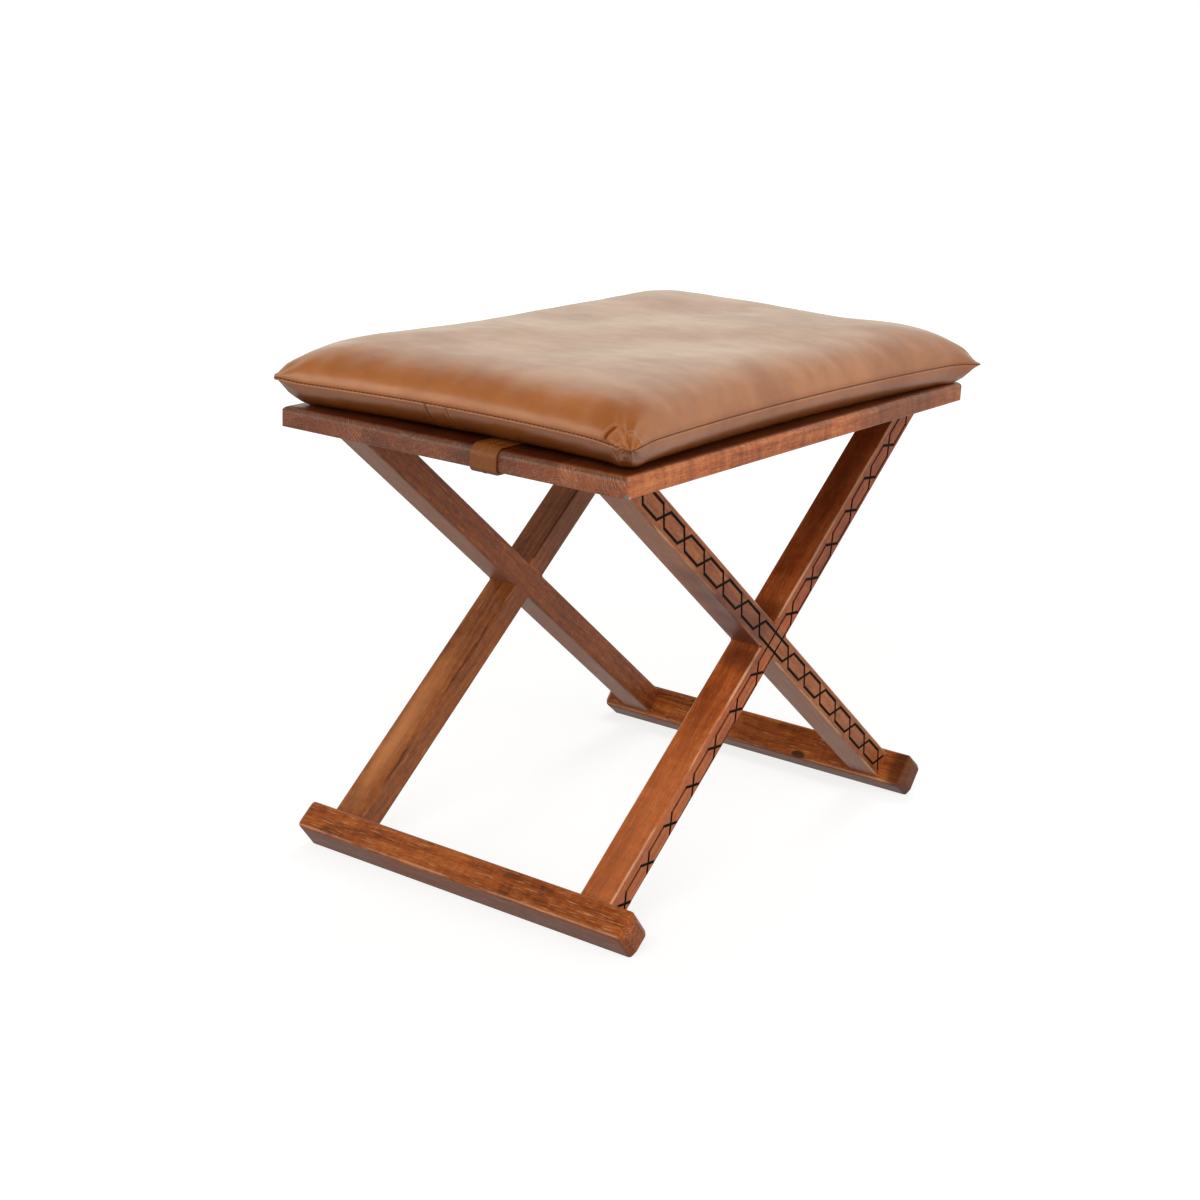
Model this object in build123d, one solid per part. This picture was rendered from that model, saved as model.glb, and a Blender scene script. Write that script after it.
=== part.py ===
"""Camel saddle stool: two fixed, carved X frames on foot bars, a glued board seat and a leather cushion.

Millimetres, +Z up. The origin is on the floor under the middle of the seat. The long side of the
seat runs along Y. The X frames stand parallel to the long sides, and the foot bars run along X.
"""

import os
from math import asin, atan2, cos, degrees, hypot, radians, sin, tan

from build123d import *

# Seat board: edge-glued planks that run along Y
seat_length = 600.0
seat_width = 391.0
seat_thickness = 19.5
seat_height = 447.5
seat_top_round = 6.5
seat_bottom_round = 1.5
seat_corner_round = 2.5
left_plank_width = 99.5
mid_left_plank_width = 127.0
right_plank_width = 71.5

# Dowels between the planks
plank_dowel_diameter = 8.0
plank_dowel_length = 40.0
plank_dowel_place_shares = (-0.36, -0.12, 0.12, 0.36)

# X frames: two legs each, halved into each other where they cross
frame_inset = 28.5
leg_breadth = 35.0
leg_depth = 29.0
leg_edge_round = 2.5
leg_top_setback = 53.0
foot_setback = 42.0

# Foot bars: each stands on one long corner, which is planed flat
foot_width = 37.5
foot_thickness = 30.0
foot_overhang = 31.5
foot_end_chamfer = 6.0
foot_edge_round = 4.0
foot_flat_depth = 2.5

# Carved line pattern on the outer faces: two zigzag lines that cross in a row of small X shapes.
# Laid out by eye, it sits below the middle of the front legs and drifts further down to the foot.
carving_pitch = 44.3
carving_middle_half = 37.4
carving_half_width = 8.0
carving_cross_half_length = 8.0
carving_overrun = 1.2
carving_line_width = 2.4
carving_depth = 1.2
front_carving_drop = 2.7
front_carving_drift_share = 0.008

# Dowels that join the legs to the seat and to the foot bars, two at each end of a leg
leg_dowel_diameter = 8.0
leg_dowel_spacing = 17.0
leg_dowel_depth = 13.0
seat_dowel_shift = 8.0
dowel_clearance = 0.1

# Leather straps: one round the middle of each short end of the seat
strap_offset = 46.0
strap_width = 29.0
strap_thickness = 2.8
strap_leg_length = 55.0
strap_standoff = 1.2

# Screws and washers that hold the straps under the seat
screw_diameter = 3.5
screw_depth = 12.0
screw_head_diameter = 7.6
screw_head_height = 2.6
screw_setback = 30.0
screw_spacing = 13.0
screw_clearance = 0.3
washer_diameter = 10.0
washer_thickness = 0.8

# Press studs: a screwed stud on each strap and a socket in the cushion
stud_setback = 41.0
stud_flange_diameter = 11.0
stud_flange_thickness = 1.2
stud_post_diameter = 7.0
stud_post_height = 3.0
stud_screw_depth = 11.0
socket_wall = 2.2
socket_flange = 1.6
socket_flange_thickness = 1.0

# Cushion: two leather panels sewn edge to edge round a soft insert
cushion_overhang_x = 8.5
cushion_overhang_y = 8.5
cushion_seam_height = 26.0
cushion_crown = 36.0
cushion_side_draw = 12.0
cushion_tip_radius = 4.0
cushion_shoulder_radius = 46.0
cushion_edge_reach = 110.0
cushion_base_reach = 24.0
leather_thickness = 1.6
seam_allowance = 3.2
soft_clearance = 0.3

# Share of the crown's height, and share of the edge reach that the outline has moved in there
crown_height_shares = (0.0, 0.22, 0.45, 0.68, 0.86, 0.97, 1.0)
crown_inset_shares = (0.0, 0.03, 0.085, 0.19, 0.37, 0.68, 1.0)
base_depth_shares = (0.0, 0.35, 0.75, 1.0)
base_inset_shares = (0.0, 0.1, 0.38, 1.0)

# Derived places of the seat
seat_underside = seat_height - seat_thickness
seat_middle = seat_height - seat_thickness / 2
left_edge = -seat_width / 2
left_joint = left_edge + left_plank_width
middle_joint = left_joint + mid_left_plank_width
right_edge = seat_width / 2
right_joint = right_edge - right_plank_width
end_edge = seat_length / 2

# Derived line of the legs: from the middle of the joint under the seat to the foot bar's low corner
leg_top_reach = end_edge - leg_top_setback
foot_corner_reach = end_edge - foot_setback
leg_drop = seat_underside + foot_flat_depth
leg_span = leg_top_reach + foot_corner_reach
leg_slope = atan2(leg_drop, leg_span) - asin(foot_width / 2 / hypot(leg_drop, leg_span))
crossing_height = seat_underside - leg_top_reach * tan(leg_slope)
foot_far_distance = (foot_corner_reach + foot_width / 2 * sin(leg_slope)) / cos(leg_slope)
foot_face_distance = foot_far_distance - foot_thickness
leg_top_distance = leg_top_reach / cos(leg_slope)
frame_face = seat_width / 2 - frame_inset
frame_middle = frame_face - leg_breadth / 2
foot_length = 2 * (frame_face + foot_overhang)
overrun = leg_depth


def leg_plane(lean):
    """Plane across a right-hand leg at the crossing; its normal points down to the foot."""
    return Plane(
        origin=(frame_middle, 0, crossing_height),
        x_dir=(1, 0, 0),
        z_dir=(0, lean * cos(leg_slope), -sin(leg_slope)),
    )


def leg_point(lean, along, across):
    """Place on a leg's face: along is measured down the leg, across towards its upper edge."""
    y = lean * (along * cos(leg_slope) + across * sin(leg_slope))
    z = crossing_height - along * sin(leg_slope) + across * cos(leg_slope)
    return y, z


def cylinder_between(start, end, radius):
    """Solid cylinder from one point to another."""
    way = Vector(*end) - Vector(*start)
    return extrude(Plane(origin=start, z_dir=way) * Circle(radius), amount=way.length)


# The seat board, whole, then sawn into its planks


def seat_board():
    """Board with a broad rounding round its top and a small one round its underside."""

    def profile(length):
        outline = Rectangle(length, seat_thickness)
        outline = fillet(outline.vertices().group_by(Axis.Y)[-1], seat_top_round)
        return fillet(outline.vertices().group_by(Axis.Y)[0], seat_bottom_round)

    along = extrude(Plane.YZ * profile(seat_length), amount=seat_width / 2, both=True)
    across = extrude(Plane.XZ * profile(seat_width), amount=seat_length / 2, both=True)
    plan = RectangleRounded(seat_width, seat_length, seat_corner_round)
    upright = extrude(plan, amount=seat_thickness, both=True)
    return Pos(0, 0, seat_middle) * (along & across & upright)


def plank(board, low_x, high_x):
    """The strip of the board between two glue joints."""
    strip = Box(high_x - low_x, seat_length, seat_thickness)
    return board & Pos((low_x + high_x) / 2, 0, seat_middle) * strip


def plank_dowels(radius, length):
    """Dowels across the three glue joints, half in each plank."""
    dowels = []
    for joint in (left_joint, middle_joint, right_joint):
        for share in plank_dowel_place_shares:
            y = share * seat_length
            start = (joint - length / 2, y, seat_middle)
            dowels.append(cylinder_between(start, (joint + length / 2, y, seat_middle), radius))
    return dowels


# Dowels at the two ends of the legs


def seat_dowels(radius, depth):
    """Upright dowels from the leg tops into the seat."""
    dowels = []
    for side in (-1, 1):
        for end in (-1, 1):
            for row in (-1, 1):
                x = side * frame_middle + row * leg_dowel_spacing / 2
                y = end * (leg_top_reach - seat_dowel_shift)
                low = (x, y, seat_underside - depth)
                dowels.append(cylinder_between(low, (x, y, seat_underside + depth), radius))
    return dowels


def foot_dowels(radius, depth):
    """Dowels along the legs' lines, from the leg ends into the foot bars."""
    dowels = []
    for side in (-1, 1):
        for lean in (-1, 1):
            for row in (-1, 1):
                x = side * frame_middle + row * leg_dowel_spacing / 2
                start = leg_point(lean, foot_face_distance - depth, 0)
                end = leg_point(lean, foot_face_distance + depth, 0)
                dowels.append(cylinder_between((x, *start), (x, *end), radius))
    return dowels


# The carved lines


def stroke(start, end):
    """One straight cut line on a leg's face, a little longer than its two ends."""
    run = Vector(*end) - Vector(*start)
    middle = (Vector(*start) + Vector(*end)) / 2
    turn = degrees(atan2(run.Y, run.X))
    line = Rectangle(run.length + 2 * carving_overrun, carving_line_width)
    return Pos(middle.X, middle.Y) * Rot(0, 0, turn) * line


def carving_strokes(lean):
    """Strokes of one leg: X crossings at a steady pitch, and straight lines between them."""
    room = foot_face_distance - carving_middle_half - carving_cross_half_length
    steps = range(int(room // carving_pitch) + 1)
    outward = [carving_middle_half + step * carving_pitch for step in steps]
    crossings = [-place for place in reversed(outward)] + outward
    half, reach = carving_half_width, carving_cross_half_length

    def laid_point(along, across):
        low = front_carving_drop + front_carving_drift_share * along if lean < 0 else 0
        return leg_point(lean, along, across - low)

    strokes = []
    for place in crossings:
        for edge in (-half, half):
            strokes.append(stroke(laid_point(place - reach, edge), laid_point(place + reach, -edge)))
    for place, following in zip(crossings, crossings[1:]):
        for edge in (-half, half):
            strokes.append(stroke(laid_point(place + reach, edge), laid_point(following - reach, edge)))
    return strokes


def carving():
    """All cut lines of the right-hand frame, as solids that are taken out of its outer face."""
    strokes = Sketch() + carving_strokes(1) + carving_strokes(-1)
    return extrude(Plane.YZ.offset(frame_face) * strokes, amount=-carving_depth)


# The legs of one frame, laid out for the right-hand side


def leg_bar(lean, edge_round):
    """Straight bar on a leg's line, from above the seat's underside to the foot bar's face."""
    section = Rectangle(leg_breadth, leg_depth)
    if edge_round:
        section = fillet(section.vertices(), edge_round)
    start = leg_plane(lean).offset(-leg_top_distance - overrun)
    bar = extrude(start * section, amount=leg_top_distance + overrun + foot_face_distance)
    return split(bar, Plane.XY.offset(seat_underside), keep=Keep.BOTTOM)


def frame_legs(rear_half, front_half):
    """Both legs of a frame: each keeps its own half of the crossing, the outer or the inner one."""
    block = leg_bar(1, 0) & leg_bar(-1, 0)
    middle = Plane.YZ.offset(frame_middle)
    halves = {1: split(block, middle, keep=rear_half), -1: split(block, middle, keep=front_half)}
    lines = carving()
    hole_radius = leg_dowel_diameter / 2 + dowel_clearance
    hole_depth = leg_dowel_depth + dowel_clearance
    holes = seat_dowels(hole_radius, hole_depth) + foot_dowels(hole_radius, hole_depth)
    legs = []
    for lean in (1, -1):
        leg = leg_bar(lean, leg_edge_round) - block + halves[lean]
        legs.append(leg - lines - holes)
    return legs


def foot_bar(lean):
    """Bar under the two legs of one end, with its wide face square to the legs."""
    bar = Box(foot_length, foot_width, foot_thickness)
    ends = bar.faces().filter_by(Axis.X).edges()
    bar = chamfer(ends, foot_end_chamfer)
    bar = fillet(bar.edges().filter_by(Axis.X, reverse=True).filter_by(GeomType.LINE)
                 + bar.edges().filter_by(Axis.X), foot_edge_round)
    y, z = leg_point(lean, foot_face_distance + foot_thickness / 2, 0)
    along = Vector(0, lean * cos(leg_slope), -sin(leg_slope))
    bar = Plane(origin=(0, y, z), x_dir=(1, 0, 0), z_dir=along) * bar
    bar = split(bar, Plane.XY, keep=Keep.TOP)
    hole_radius = leg_dowel_diameter / 2 + dowel_clearance
    return bar - foot_dowels(hole_radius, leg_dowel_depth + dowel_clearance)


# The straps and what holds them


def strap_profile():
    """Flat C that goes over, down and under the front end of the seat, standing off its edge."""
    far = -end_edge + strap_leg_length
    near = -end_edge - strap_standoff

    def rounded_end(grow):
        low, high = seat_underside - grow, seat_height + grow
        front = near - grow
        outline = Rectangle(far - front, high - low)
        corners = outline.vertices().group_by(Axis.X)[0].sort_by(Axis.Y)
        outline = fillet(corners[-1], seat_top_round + strap_standoff + grow)
        corners = outline.vertices().group_by(Axis.Y)[0].sort_by(Axis.X)
        outline = fillet(corners[0], seat_bottom_round + strap_standoff + grow)
        return Pos((front + far) / 2, (low + high) / 2) * outline

    return rounded_end(strap_thickness) - rounded_end(0)


def front_strap():
    """Leather strap at the front end, with holes for its screws and stud."""
    start = Plane.YZ.offset(strap_offset - strap_width / 2)
    strap = extrude(start * strap_profile(), amount=strap_width)
    reach = seat_thickness + 2 * strap_thickness
    for x, y in screw_places(-1):
        low = (x, y, seat_underside - reach)
        strap -= cylinder_between(low, (x, y, seat_middle), screw_diameter / 2 + screw_clearance)
    x, y = stud_place(-1)
    top = (x, y, seat_height + reach)
    return strap - cylinder_between(top, (x, y, seat_middle), screw_diameter / 2 + screw_clearance)


def screw_places(end):
    """The two screws of one strap, side by side under the seat."""
    y = end * (end_edge - screw_setback)
    return [(strap_offset + row * screw_spacing / 2, y) for row in (-1, 1)]


def stud_place(end):
    """The press stud of one strap, on top of the seat."""
    return strap_offset, end * (end_edge - stud_setback)


def strap_screw():
    """Round-headed screw at the origin: the head hangs below, the shank points up."""
    shank = screw_diameter / 2
    head = screw_head_diameter / 2
    dome_radius = (head**2 + screw_head_height**2) / (2 * screw_head_height)
    top = washer_thickness + strap_thickness + screw_depth
    dome = RadiusArc((head, 0), (0, -screw_head_height), dome_radius)
    sides = Polyline((0, -screw_head_height), (0, top), (shank, top - screw_diameter), (shank, 0), (head, 0))
    return revolve(Plane.XZ * make_face(dome + sides), Axis.Z)


def washer():
    """Flat ring that lies on the origin's plane, under the strap."""
    ring = Circle(washer_diameter / 2) - Circle(screw_diameter / 2 + screw_clearance)
    return extrude(ring, amount=washer_thickness)


def screw_stud():
    """Press stud on a wood screw: its flange lies on the strap, its post stands up."""
    shank = screw_diameter / 2
    post = stud_post_diameter / 2
    neck = post - screw_clearance
    top = stud_flange_thickness + stud_post_height
    bottom = -strap_thickness - stud_screw_depth
    outline = make_face(Polyline(
        (0, bottom), (shank, bottom + screw_diameter), (shank, 0), (stud_flange_diameter / 2, 0),
        (stud_flange_diameter / 2, stud_flange_thickness), (neck, stud_flange_thickness),
        (neck, top - stud_post_height / 2), (post, top - stud_post_height / 3),
        (neck, top), (0, top), (0, bottom),
    ))
    return revolve(Plane.XZ * outline, Axis.Z)


# Heights of the cushion's underside and of the parts that sit in it
cushion_base = seat_height + strap_thickness + soft_clearance
seam_level = seat_height + cushion_seam_height
socket_inside = stud_post_diameter / 2 + soft_clearance
socket_outside = socket_inside + socket_wall
socket_foot = seat_height + strap_thickness + stud_flange_thickness + soft_clearance
socket_ceiling = socket_foot + stud_post_height
socket_top = socket_ceiling + socket_flange_thickness
socket_seat = cushion_base + leather_thickness


def snap_socket():
    """Socket that takes the stud's post; its flange lies inside the cushion on the lower panel."""
    flange = socket_outside + socket_flange
    outline = make_face(Polyline(
        (socket_inside, socket_foot), (socket_outside, socket_foot), (socket_outside, socket_seat),
        (flange, socket_seat), (flange, socket_seat + socket_flange_thickness),
        (socket_outside, socket_seat + socket_flange_thickness), (socket_outside, socket_top),
        (0, socket_top), (0, socket_ceiling), (socket_inside, socket_ceiling),
        (socket_inside, socket_foot),
    ))
    return revolve(Plane.XZ * outline, Axis.Z)


# The cushion


def cushion_outline(inset, level, draw, corner):
    """Level outline: four long sides, drawn in or bulged at their middles, and four round corners."""
    half_x = seat_width / 2 + cushion_overhang_x - inset
    half_y = seat_length / 2 + cushion_overhang_y - inset
    bulge = corner * (1 - cos(radians(45)))
    quarter = [
        ThreePointArc((half_x, corner - half_y), (half_x - draw, 0), (half_x, half_y - corner)),
        ThreePointArc((half_x, half_y - corner), (half_x - bulge, half_y - bulge),
                      (half_x - corner, half_y)),
        ThreePointArc((half_x - corner, half_y), (0, half_y - draw), (corner - half_x, half_y)),
        ThreePointArc((corner - half_x, half_y), (bulge - half_x, half_y - bulge),
                      (-half_x, half_y - corner)),
    ]
    whole = quarter + [edge.rotate(Axis.Z, 180) for edge in quarter]
    return Pos(0, 0, level) * make_face(whole)


def cushion_half(rise, reach, height_shares, inset_shares, trim):
    """Upper or lower half of the cushion; trim makes it smaller on every side, for what lies inside."""
    sections = []
    depth_left = 1 - trim / abs(rise) if trim else 1
    for height, inset in zip(height_shares, inset_shares):
        draw = cushion_side_draw * (1 - height)
        corner = cushion_tip_radius + (cushion_shoulder_radius - cushion_tip_radius) * height
        bulge_out = -leather_thickness * height
        side_trim = seam_allowance * trim / leather_thickness
        level = seam_level + rise * height * depth_left
        sections.append(cushion_outline(inset * reach + side_trim, level, draw + bulge_out, corner))
    return loft(sections)


def cushion_form(trim):
    """Both halves of the cushion, trimmed alike."""
    upper = cushion_half(cushion_crown, cushion_edge_reach, crown_height_shares, crown_inset_shares, trim)
    drop = cushion_base - seam_level
    lower = cushion_half(drop, cushion_base_reach, base_depth_shares, base_inset_shares, trim)
    return upper, lower


def cushion_pieces():
    """Upper panel, lower panel and insert, with room for the sockets."""
    upper, lower = cushion_form(0)
    upper_room, lower_room = cushion_form(leather_thickness)
    upper_fill, lower_fill = cushion_form(leather_thickness + soft_clearance)
    lower_panel = lower - lower_room
    insert = upper_fill + lower_fill
    room = socket_outside + soft_clearance
    flange_room = room + socket_flange
    for end in (-1, 1):
        x, y = stud_place(end)
        lower_panel -= cylinder_between((x, y, seat_height), (x, y, seam_level), room)
        insert -= cylinder_between((x, y, seat_height), (x, y, socket_top + soft_clearance), flange_room)
    return upper - upper_room, lower_panel, insert


def group(solids):
    """Alike small pieces kept as separate solids in one node."""
    return Compound(children=solids)


def build():
    """All nodes of the stool by name."""
    board = seat_board()
    hole_radius = leg_dowel_diameter / 2 + dowel_clearance
    holes = seat_dowels(hole_radius, leg_dowel_depth + dowel_clearance)
    holes += plank_dowels(plank_dowel_diameter / 2 + dowel_clearance,
                          plank_dowel_length + 2 * dowel_clearance)
    screws, washers, studs, sockets = [], [], [], []
    for end in (-1, 1):
        for x, y in screw_places(end):
            under = seat_underside - strap_thickness
            screws.append(Pos(x, y, under - washer_thickness) * strap_screw())
            washers.append(Pos(x, y, under - washer_thickness) * washer())
            pilot_top = (x, y, seat_underside + screw_depth)
            holes.append(cylinder_between((x, y, seat_underside), pilot_top, screw_diameter / 2))
        x, y = stud_place(end)
        studs.append(Pos(x, y, seat_height + strap_thickness) * screw_stud())
        sockets.append(Pos(x, y, 0) * snap_socket())
        pilot_low = (x, y, seat_height - stud_screw_depth)
        holes.append(cylinder_between((x, y, seat_height), pilot_low, screw_diameter / 2))
    outer_half, inner_half = Keep.TOP, Keep.BOTTOM
    right_rear_leg, right_front_leg = frame_legs(outer_half, inner_half)
    left_rear_leg, left_front_leg = frame_legs(inner_half, outer_half)
    strap = front_strap()
    upper_panel, lower_panel, insert = cushion_pieces()
    return {
        "seat_plank_left": plank(board, left_edge, left_joint) - holes,
        "seat_plank_mid_left": plank(board, left_joint, middle_joint) - holes,
        "seat_plank_mid_right": plank(board, middle_joint, right_joint) - holes,
        "seat_plank_right": plank(board, right_joint, right_edge) - holes,
        "plank_dowels": group(plank_dowels(plank_dowel_diameter / 2, plank_dowel_length)),
        "right_rear_leg": right_rear_leg,
        "right_front_leg": right_front_leg,
        "left_rear_leg": mirror(left_rear_leg, Plane.YZ),
        "left_front_leg": mirror(left_front_leg, Plane.YZ),
        "front_foot_bar": foot_bar(-1),
        "rear_foot_bar": foot_bar(1),
        "seat_dowels": group(seat_dowels(leg_dowel_diameter / 2, leg_dowel_depth)),
        "foot_dowels": group(foot_dowels(leg_dowel_diameter / 2, leg_dowel_depth)),
        "front_strap": strap,
        "rear_strap": mirror(strap, Plane.XZ),
        "strap_screws": group(screws),
        "strap_washers": group(washers),
        "screw_studs": group(studs),
        "snap_sockets": group(sockets),
        "cushion_top_panel": upper_panel,
        "cushion_bottom_panel": lower_panel,
        "cushion_insert": insert,
    }


os.makedirs("parts", exist_ok=True)
for name, shape in build().items():
    export_step(shape, f"parts/{name}.step")
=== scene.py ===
"""Looks of the camel saddle stool: stained hardwood, leather straps and a leather cushion.

Metres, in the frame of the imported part: the origin is on the floor under the middle of the seat,
+Y runs along the long side of the seat and +X points to the carved frame nearest the camera.
"""

import logging
import math
from dataclasses import dataclass, field
from enum import Enum
from typing import Any

import bpy
import numpy as np
from mathutils import Matrix, Vector


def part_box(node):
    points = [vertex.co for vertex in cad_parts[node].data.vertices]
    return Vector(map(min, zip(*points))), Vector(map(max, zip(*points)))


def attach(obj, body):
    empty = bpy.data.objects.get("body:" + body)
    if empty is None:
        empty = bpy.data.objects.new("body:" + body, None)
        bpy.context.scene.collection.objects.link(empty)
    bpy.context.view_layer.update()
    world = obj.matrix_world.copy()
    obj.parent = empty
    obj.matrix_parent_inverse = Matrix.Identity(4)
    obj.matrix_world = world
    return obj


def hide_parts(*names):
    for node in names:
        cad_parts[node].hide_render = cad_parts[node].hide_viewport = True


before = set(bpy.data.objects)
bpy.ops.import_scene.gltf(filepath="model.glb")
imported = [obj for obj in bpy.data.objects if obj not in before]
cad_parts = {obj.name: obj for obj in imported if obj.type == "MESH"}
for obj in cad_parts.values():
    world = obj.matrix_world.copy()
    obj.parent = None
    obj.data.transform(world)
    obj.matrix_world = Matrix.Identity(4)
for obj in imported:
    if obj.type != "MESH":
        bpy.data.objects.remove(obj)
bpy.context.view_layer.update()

MM = 0.001
STOOL = "stool"
CUSHION = "cushion"
LEG_SLOPE = math.radians(38.8276)

log = logging.getLogger("stool")


class Lean(Enum):
    """Which way a leg leans: the sign of Y at its foot."""

    REAR = 1
    FRONT = -1


class End(Enum):
    """Short end of the seat: the sign of its Y."""

    FRONT = -1
    REAR = 1


class Panel(Enum):
    """Leather panel of the cushion."""

    UPPER = 1
    LOWER = -1


def linear(code: str) -> tuple[float, float, float, float]:
    """Turn an sRGB hex colour into the linear colour that a shader takes.

    Args:
        code: six hex digits, with or without a leading #.

    Returns:
        Red, green, blue and an alpha of one.
    """
    digits = code.lstrip("#")
    parts = np.array([int(digits[i:i + 2], 16) for i in (0, 2, 4)]) / 255
    low = parts / 12.92
    high = ((parts + 0.055) / 1.055) ** 2.4
    red, green, blue = np.where(parts <= 0.04045, low, high)
    return float(red), float(green), float(blue), 1.0


def add(tree: bpy.types.NodeTree, kind: str, inputs: dict[Any, Any] | None = None,
        **settings: Any) -> bpy.types.Node:
    """Add a node with its settings and its links.

    Args:
        tree: the node tree that gets the node.
        kind: Blender's name of the node type.
        inputs: value or output socket for each input, by the input's name or number.
        settings: attributes of the node itself.

    Returns:
        The new node.
    """
    node = tree.nodes.new(kind)
    for name, value in settings.items():
        setattr(node, name, value)
    for name, value in (inputs or {}).items():
        if isinstance(value, bpy.types.NodeSocket):
            tree.links.new(value, node.inputs[name])
        else:
            node.inputs[name].default_value = value
    return node


def maths(tree: bpy.types.NodeTree, operation: str, *values: Any) -> bpy.types.NodeSocket:
    """Output of one Math node over the given values or sockets."""
    inputs = dict(enumerate(values))
    return add(tree, "ShaderNodeMath", inputs, operation=operation).outputs[0]


def product(tree: bpy.types.NodeTree, *factors: Any) -> bpy.types.NodeSocket:
    """All the given values or sockets, multiplied."""
    total = factors[0]
    for factor in factors[1:]:
        total = maths(tree, "MULTIPLY", total, factor)
    return total


def ramp(tree: bpy.types.NodeTree, value: bpy.types.NodeSocket, low: float, high: float,
         out_low: float = 0.0, out_high: float = 1.0) -> bpy.types.NodeSocket:
    """Smooth step of a value between two limits.

    Args:
        tree: the node tree.
        value: socket that is stepped.
        low: value where the step starts.
        high: value where the step ends.
        out_low: result before the step.
        out_high: result after the step.

    Returns:
        The stepped value.
    """
    inputs = {"Value": value, "From Min": low, "From Max": high, "To Min": out_low, "To Max": out_high}
    return add(tree, "ShaderNodeMapRange", inputs, interpolation_type="SMOOTHSTEP").outputs[0]


def mix_colour(tree: bpy.types.NodeTree, share: Any, under: Any, over: Any,
               blend: str = "MIX") -> bpy.types.NodeSocket:
    """Colour between two colours.

    Args:
        tree: the node tree.
        share: share of the upper colour, a number or socket.
        under: lower colour or socket.
        over: upper colour or socket.
        blend: Blender's name of the way they mix.

    Returns:
        The mixed colour.
    """
    inputs = {0: share, 6: under, 7: over}
    return add(tree, "ShaderNodeMix", inputs, data_type="RGBA", blend_type=blend).outputs[2]


def new_material(name: str) -> tuple[bpy.types.Material, bpy.types.NodeTree, bpy.types.Node]:
    """Fresh material with only a Principled shader.

    Args:
        name: name of the finish.

    Returns:
        The material, its node tree and its shader node.
    """
    material = bpy.data.materials.new(name)
    material.use_nodes = True
    tree = material.node_tree
    return material, tree, tree.nodes["Principled BSDF"]


def dress(piece: bpy.types.Object, material: bpy.types.Material) -> None:
    """Give a piece one material in every slot."""
    if not piece.material_slots:
        piece.data.materials.append(material)
    for place in piece.material_slots:
        place.material = material


# Finishes


@dataclass(frozen=True)
class GrainLie:
    """How the grain lies in one member: its own axes run along, across and up the member."""

    origin: tuple[float, float, float]
    along: tuple[float, float, float]
    up: tuple[float, float, float]
    half_across: float
    half_up: float

    def turn(self) -> tuple[float, float, float]:
        """Euler angles that turn the object's axes to the member's."""
        along, up = Vector(self.along).normalized(), Vector(self.up).normalized()
        return tuple(Matrix((along, up.cross(along), up)).transposed().to_euler())


@dataclass(frozen=True)
class Spot:
    """Round mark on the wood, such as a knot or a chip, or a patch of painted shade or light."""

    place: tuple[float, float, float]
    reach: tuple[float, float, float]
    colour: str
    strength: float
    core: float = 0.7


@dataclass(frozen=True)
class WoodPoint:
    """What the shader knows of the point that it colours, on one wooden member.

    The coordinates are the object's own, and facing is the true normal's X, Y and Z. The place runs
    along, across and up the member, and axes are its three parts. The bent place sways with the
    grain, and from_pith is the way to it from the middle of the stem.
    """

    tree: bpy.types.NodeTree
    coords: bpy.types.NodeSocket
    facing: bpy.types.bpy_prop_collection
    place: bpy.types.NodeSocket
    axes: bpy.types.bpy_prop_collection
    bent: bpy.types.NodeSocket
    from_pith: bpy.types.NodeSocket


@dataclass(frozen=True)
class Blots:
    """Noise in the wood: its scales along, across and up the member, and a blot's width at one.

    A small scale draws the blots out that way, detail adds octaves of finer noise, and the shift
    keeps any two patterns apart. A bent pattern sways with the grain.
    """

    scale: tuple[float, float, float]
    width: float
    detail: float
    shift: float
    bent: bool = False


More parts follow.
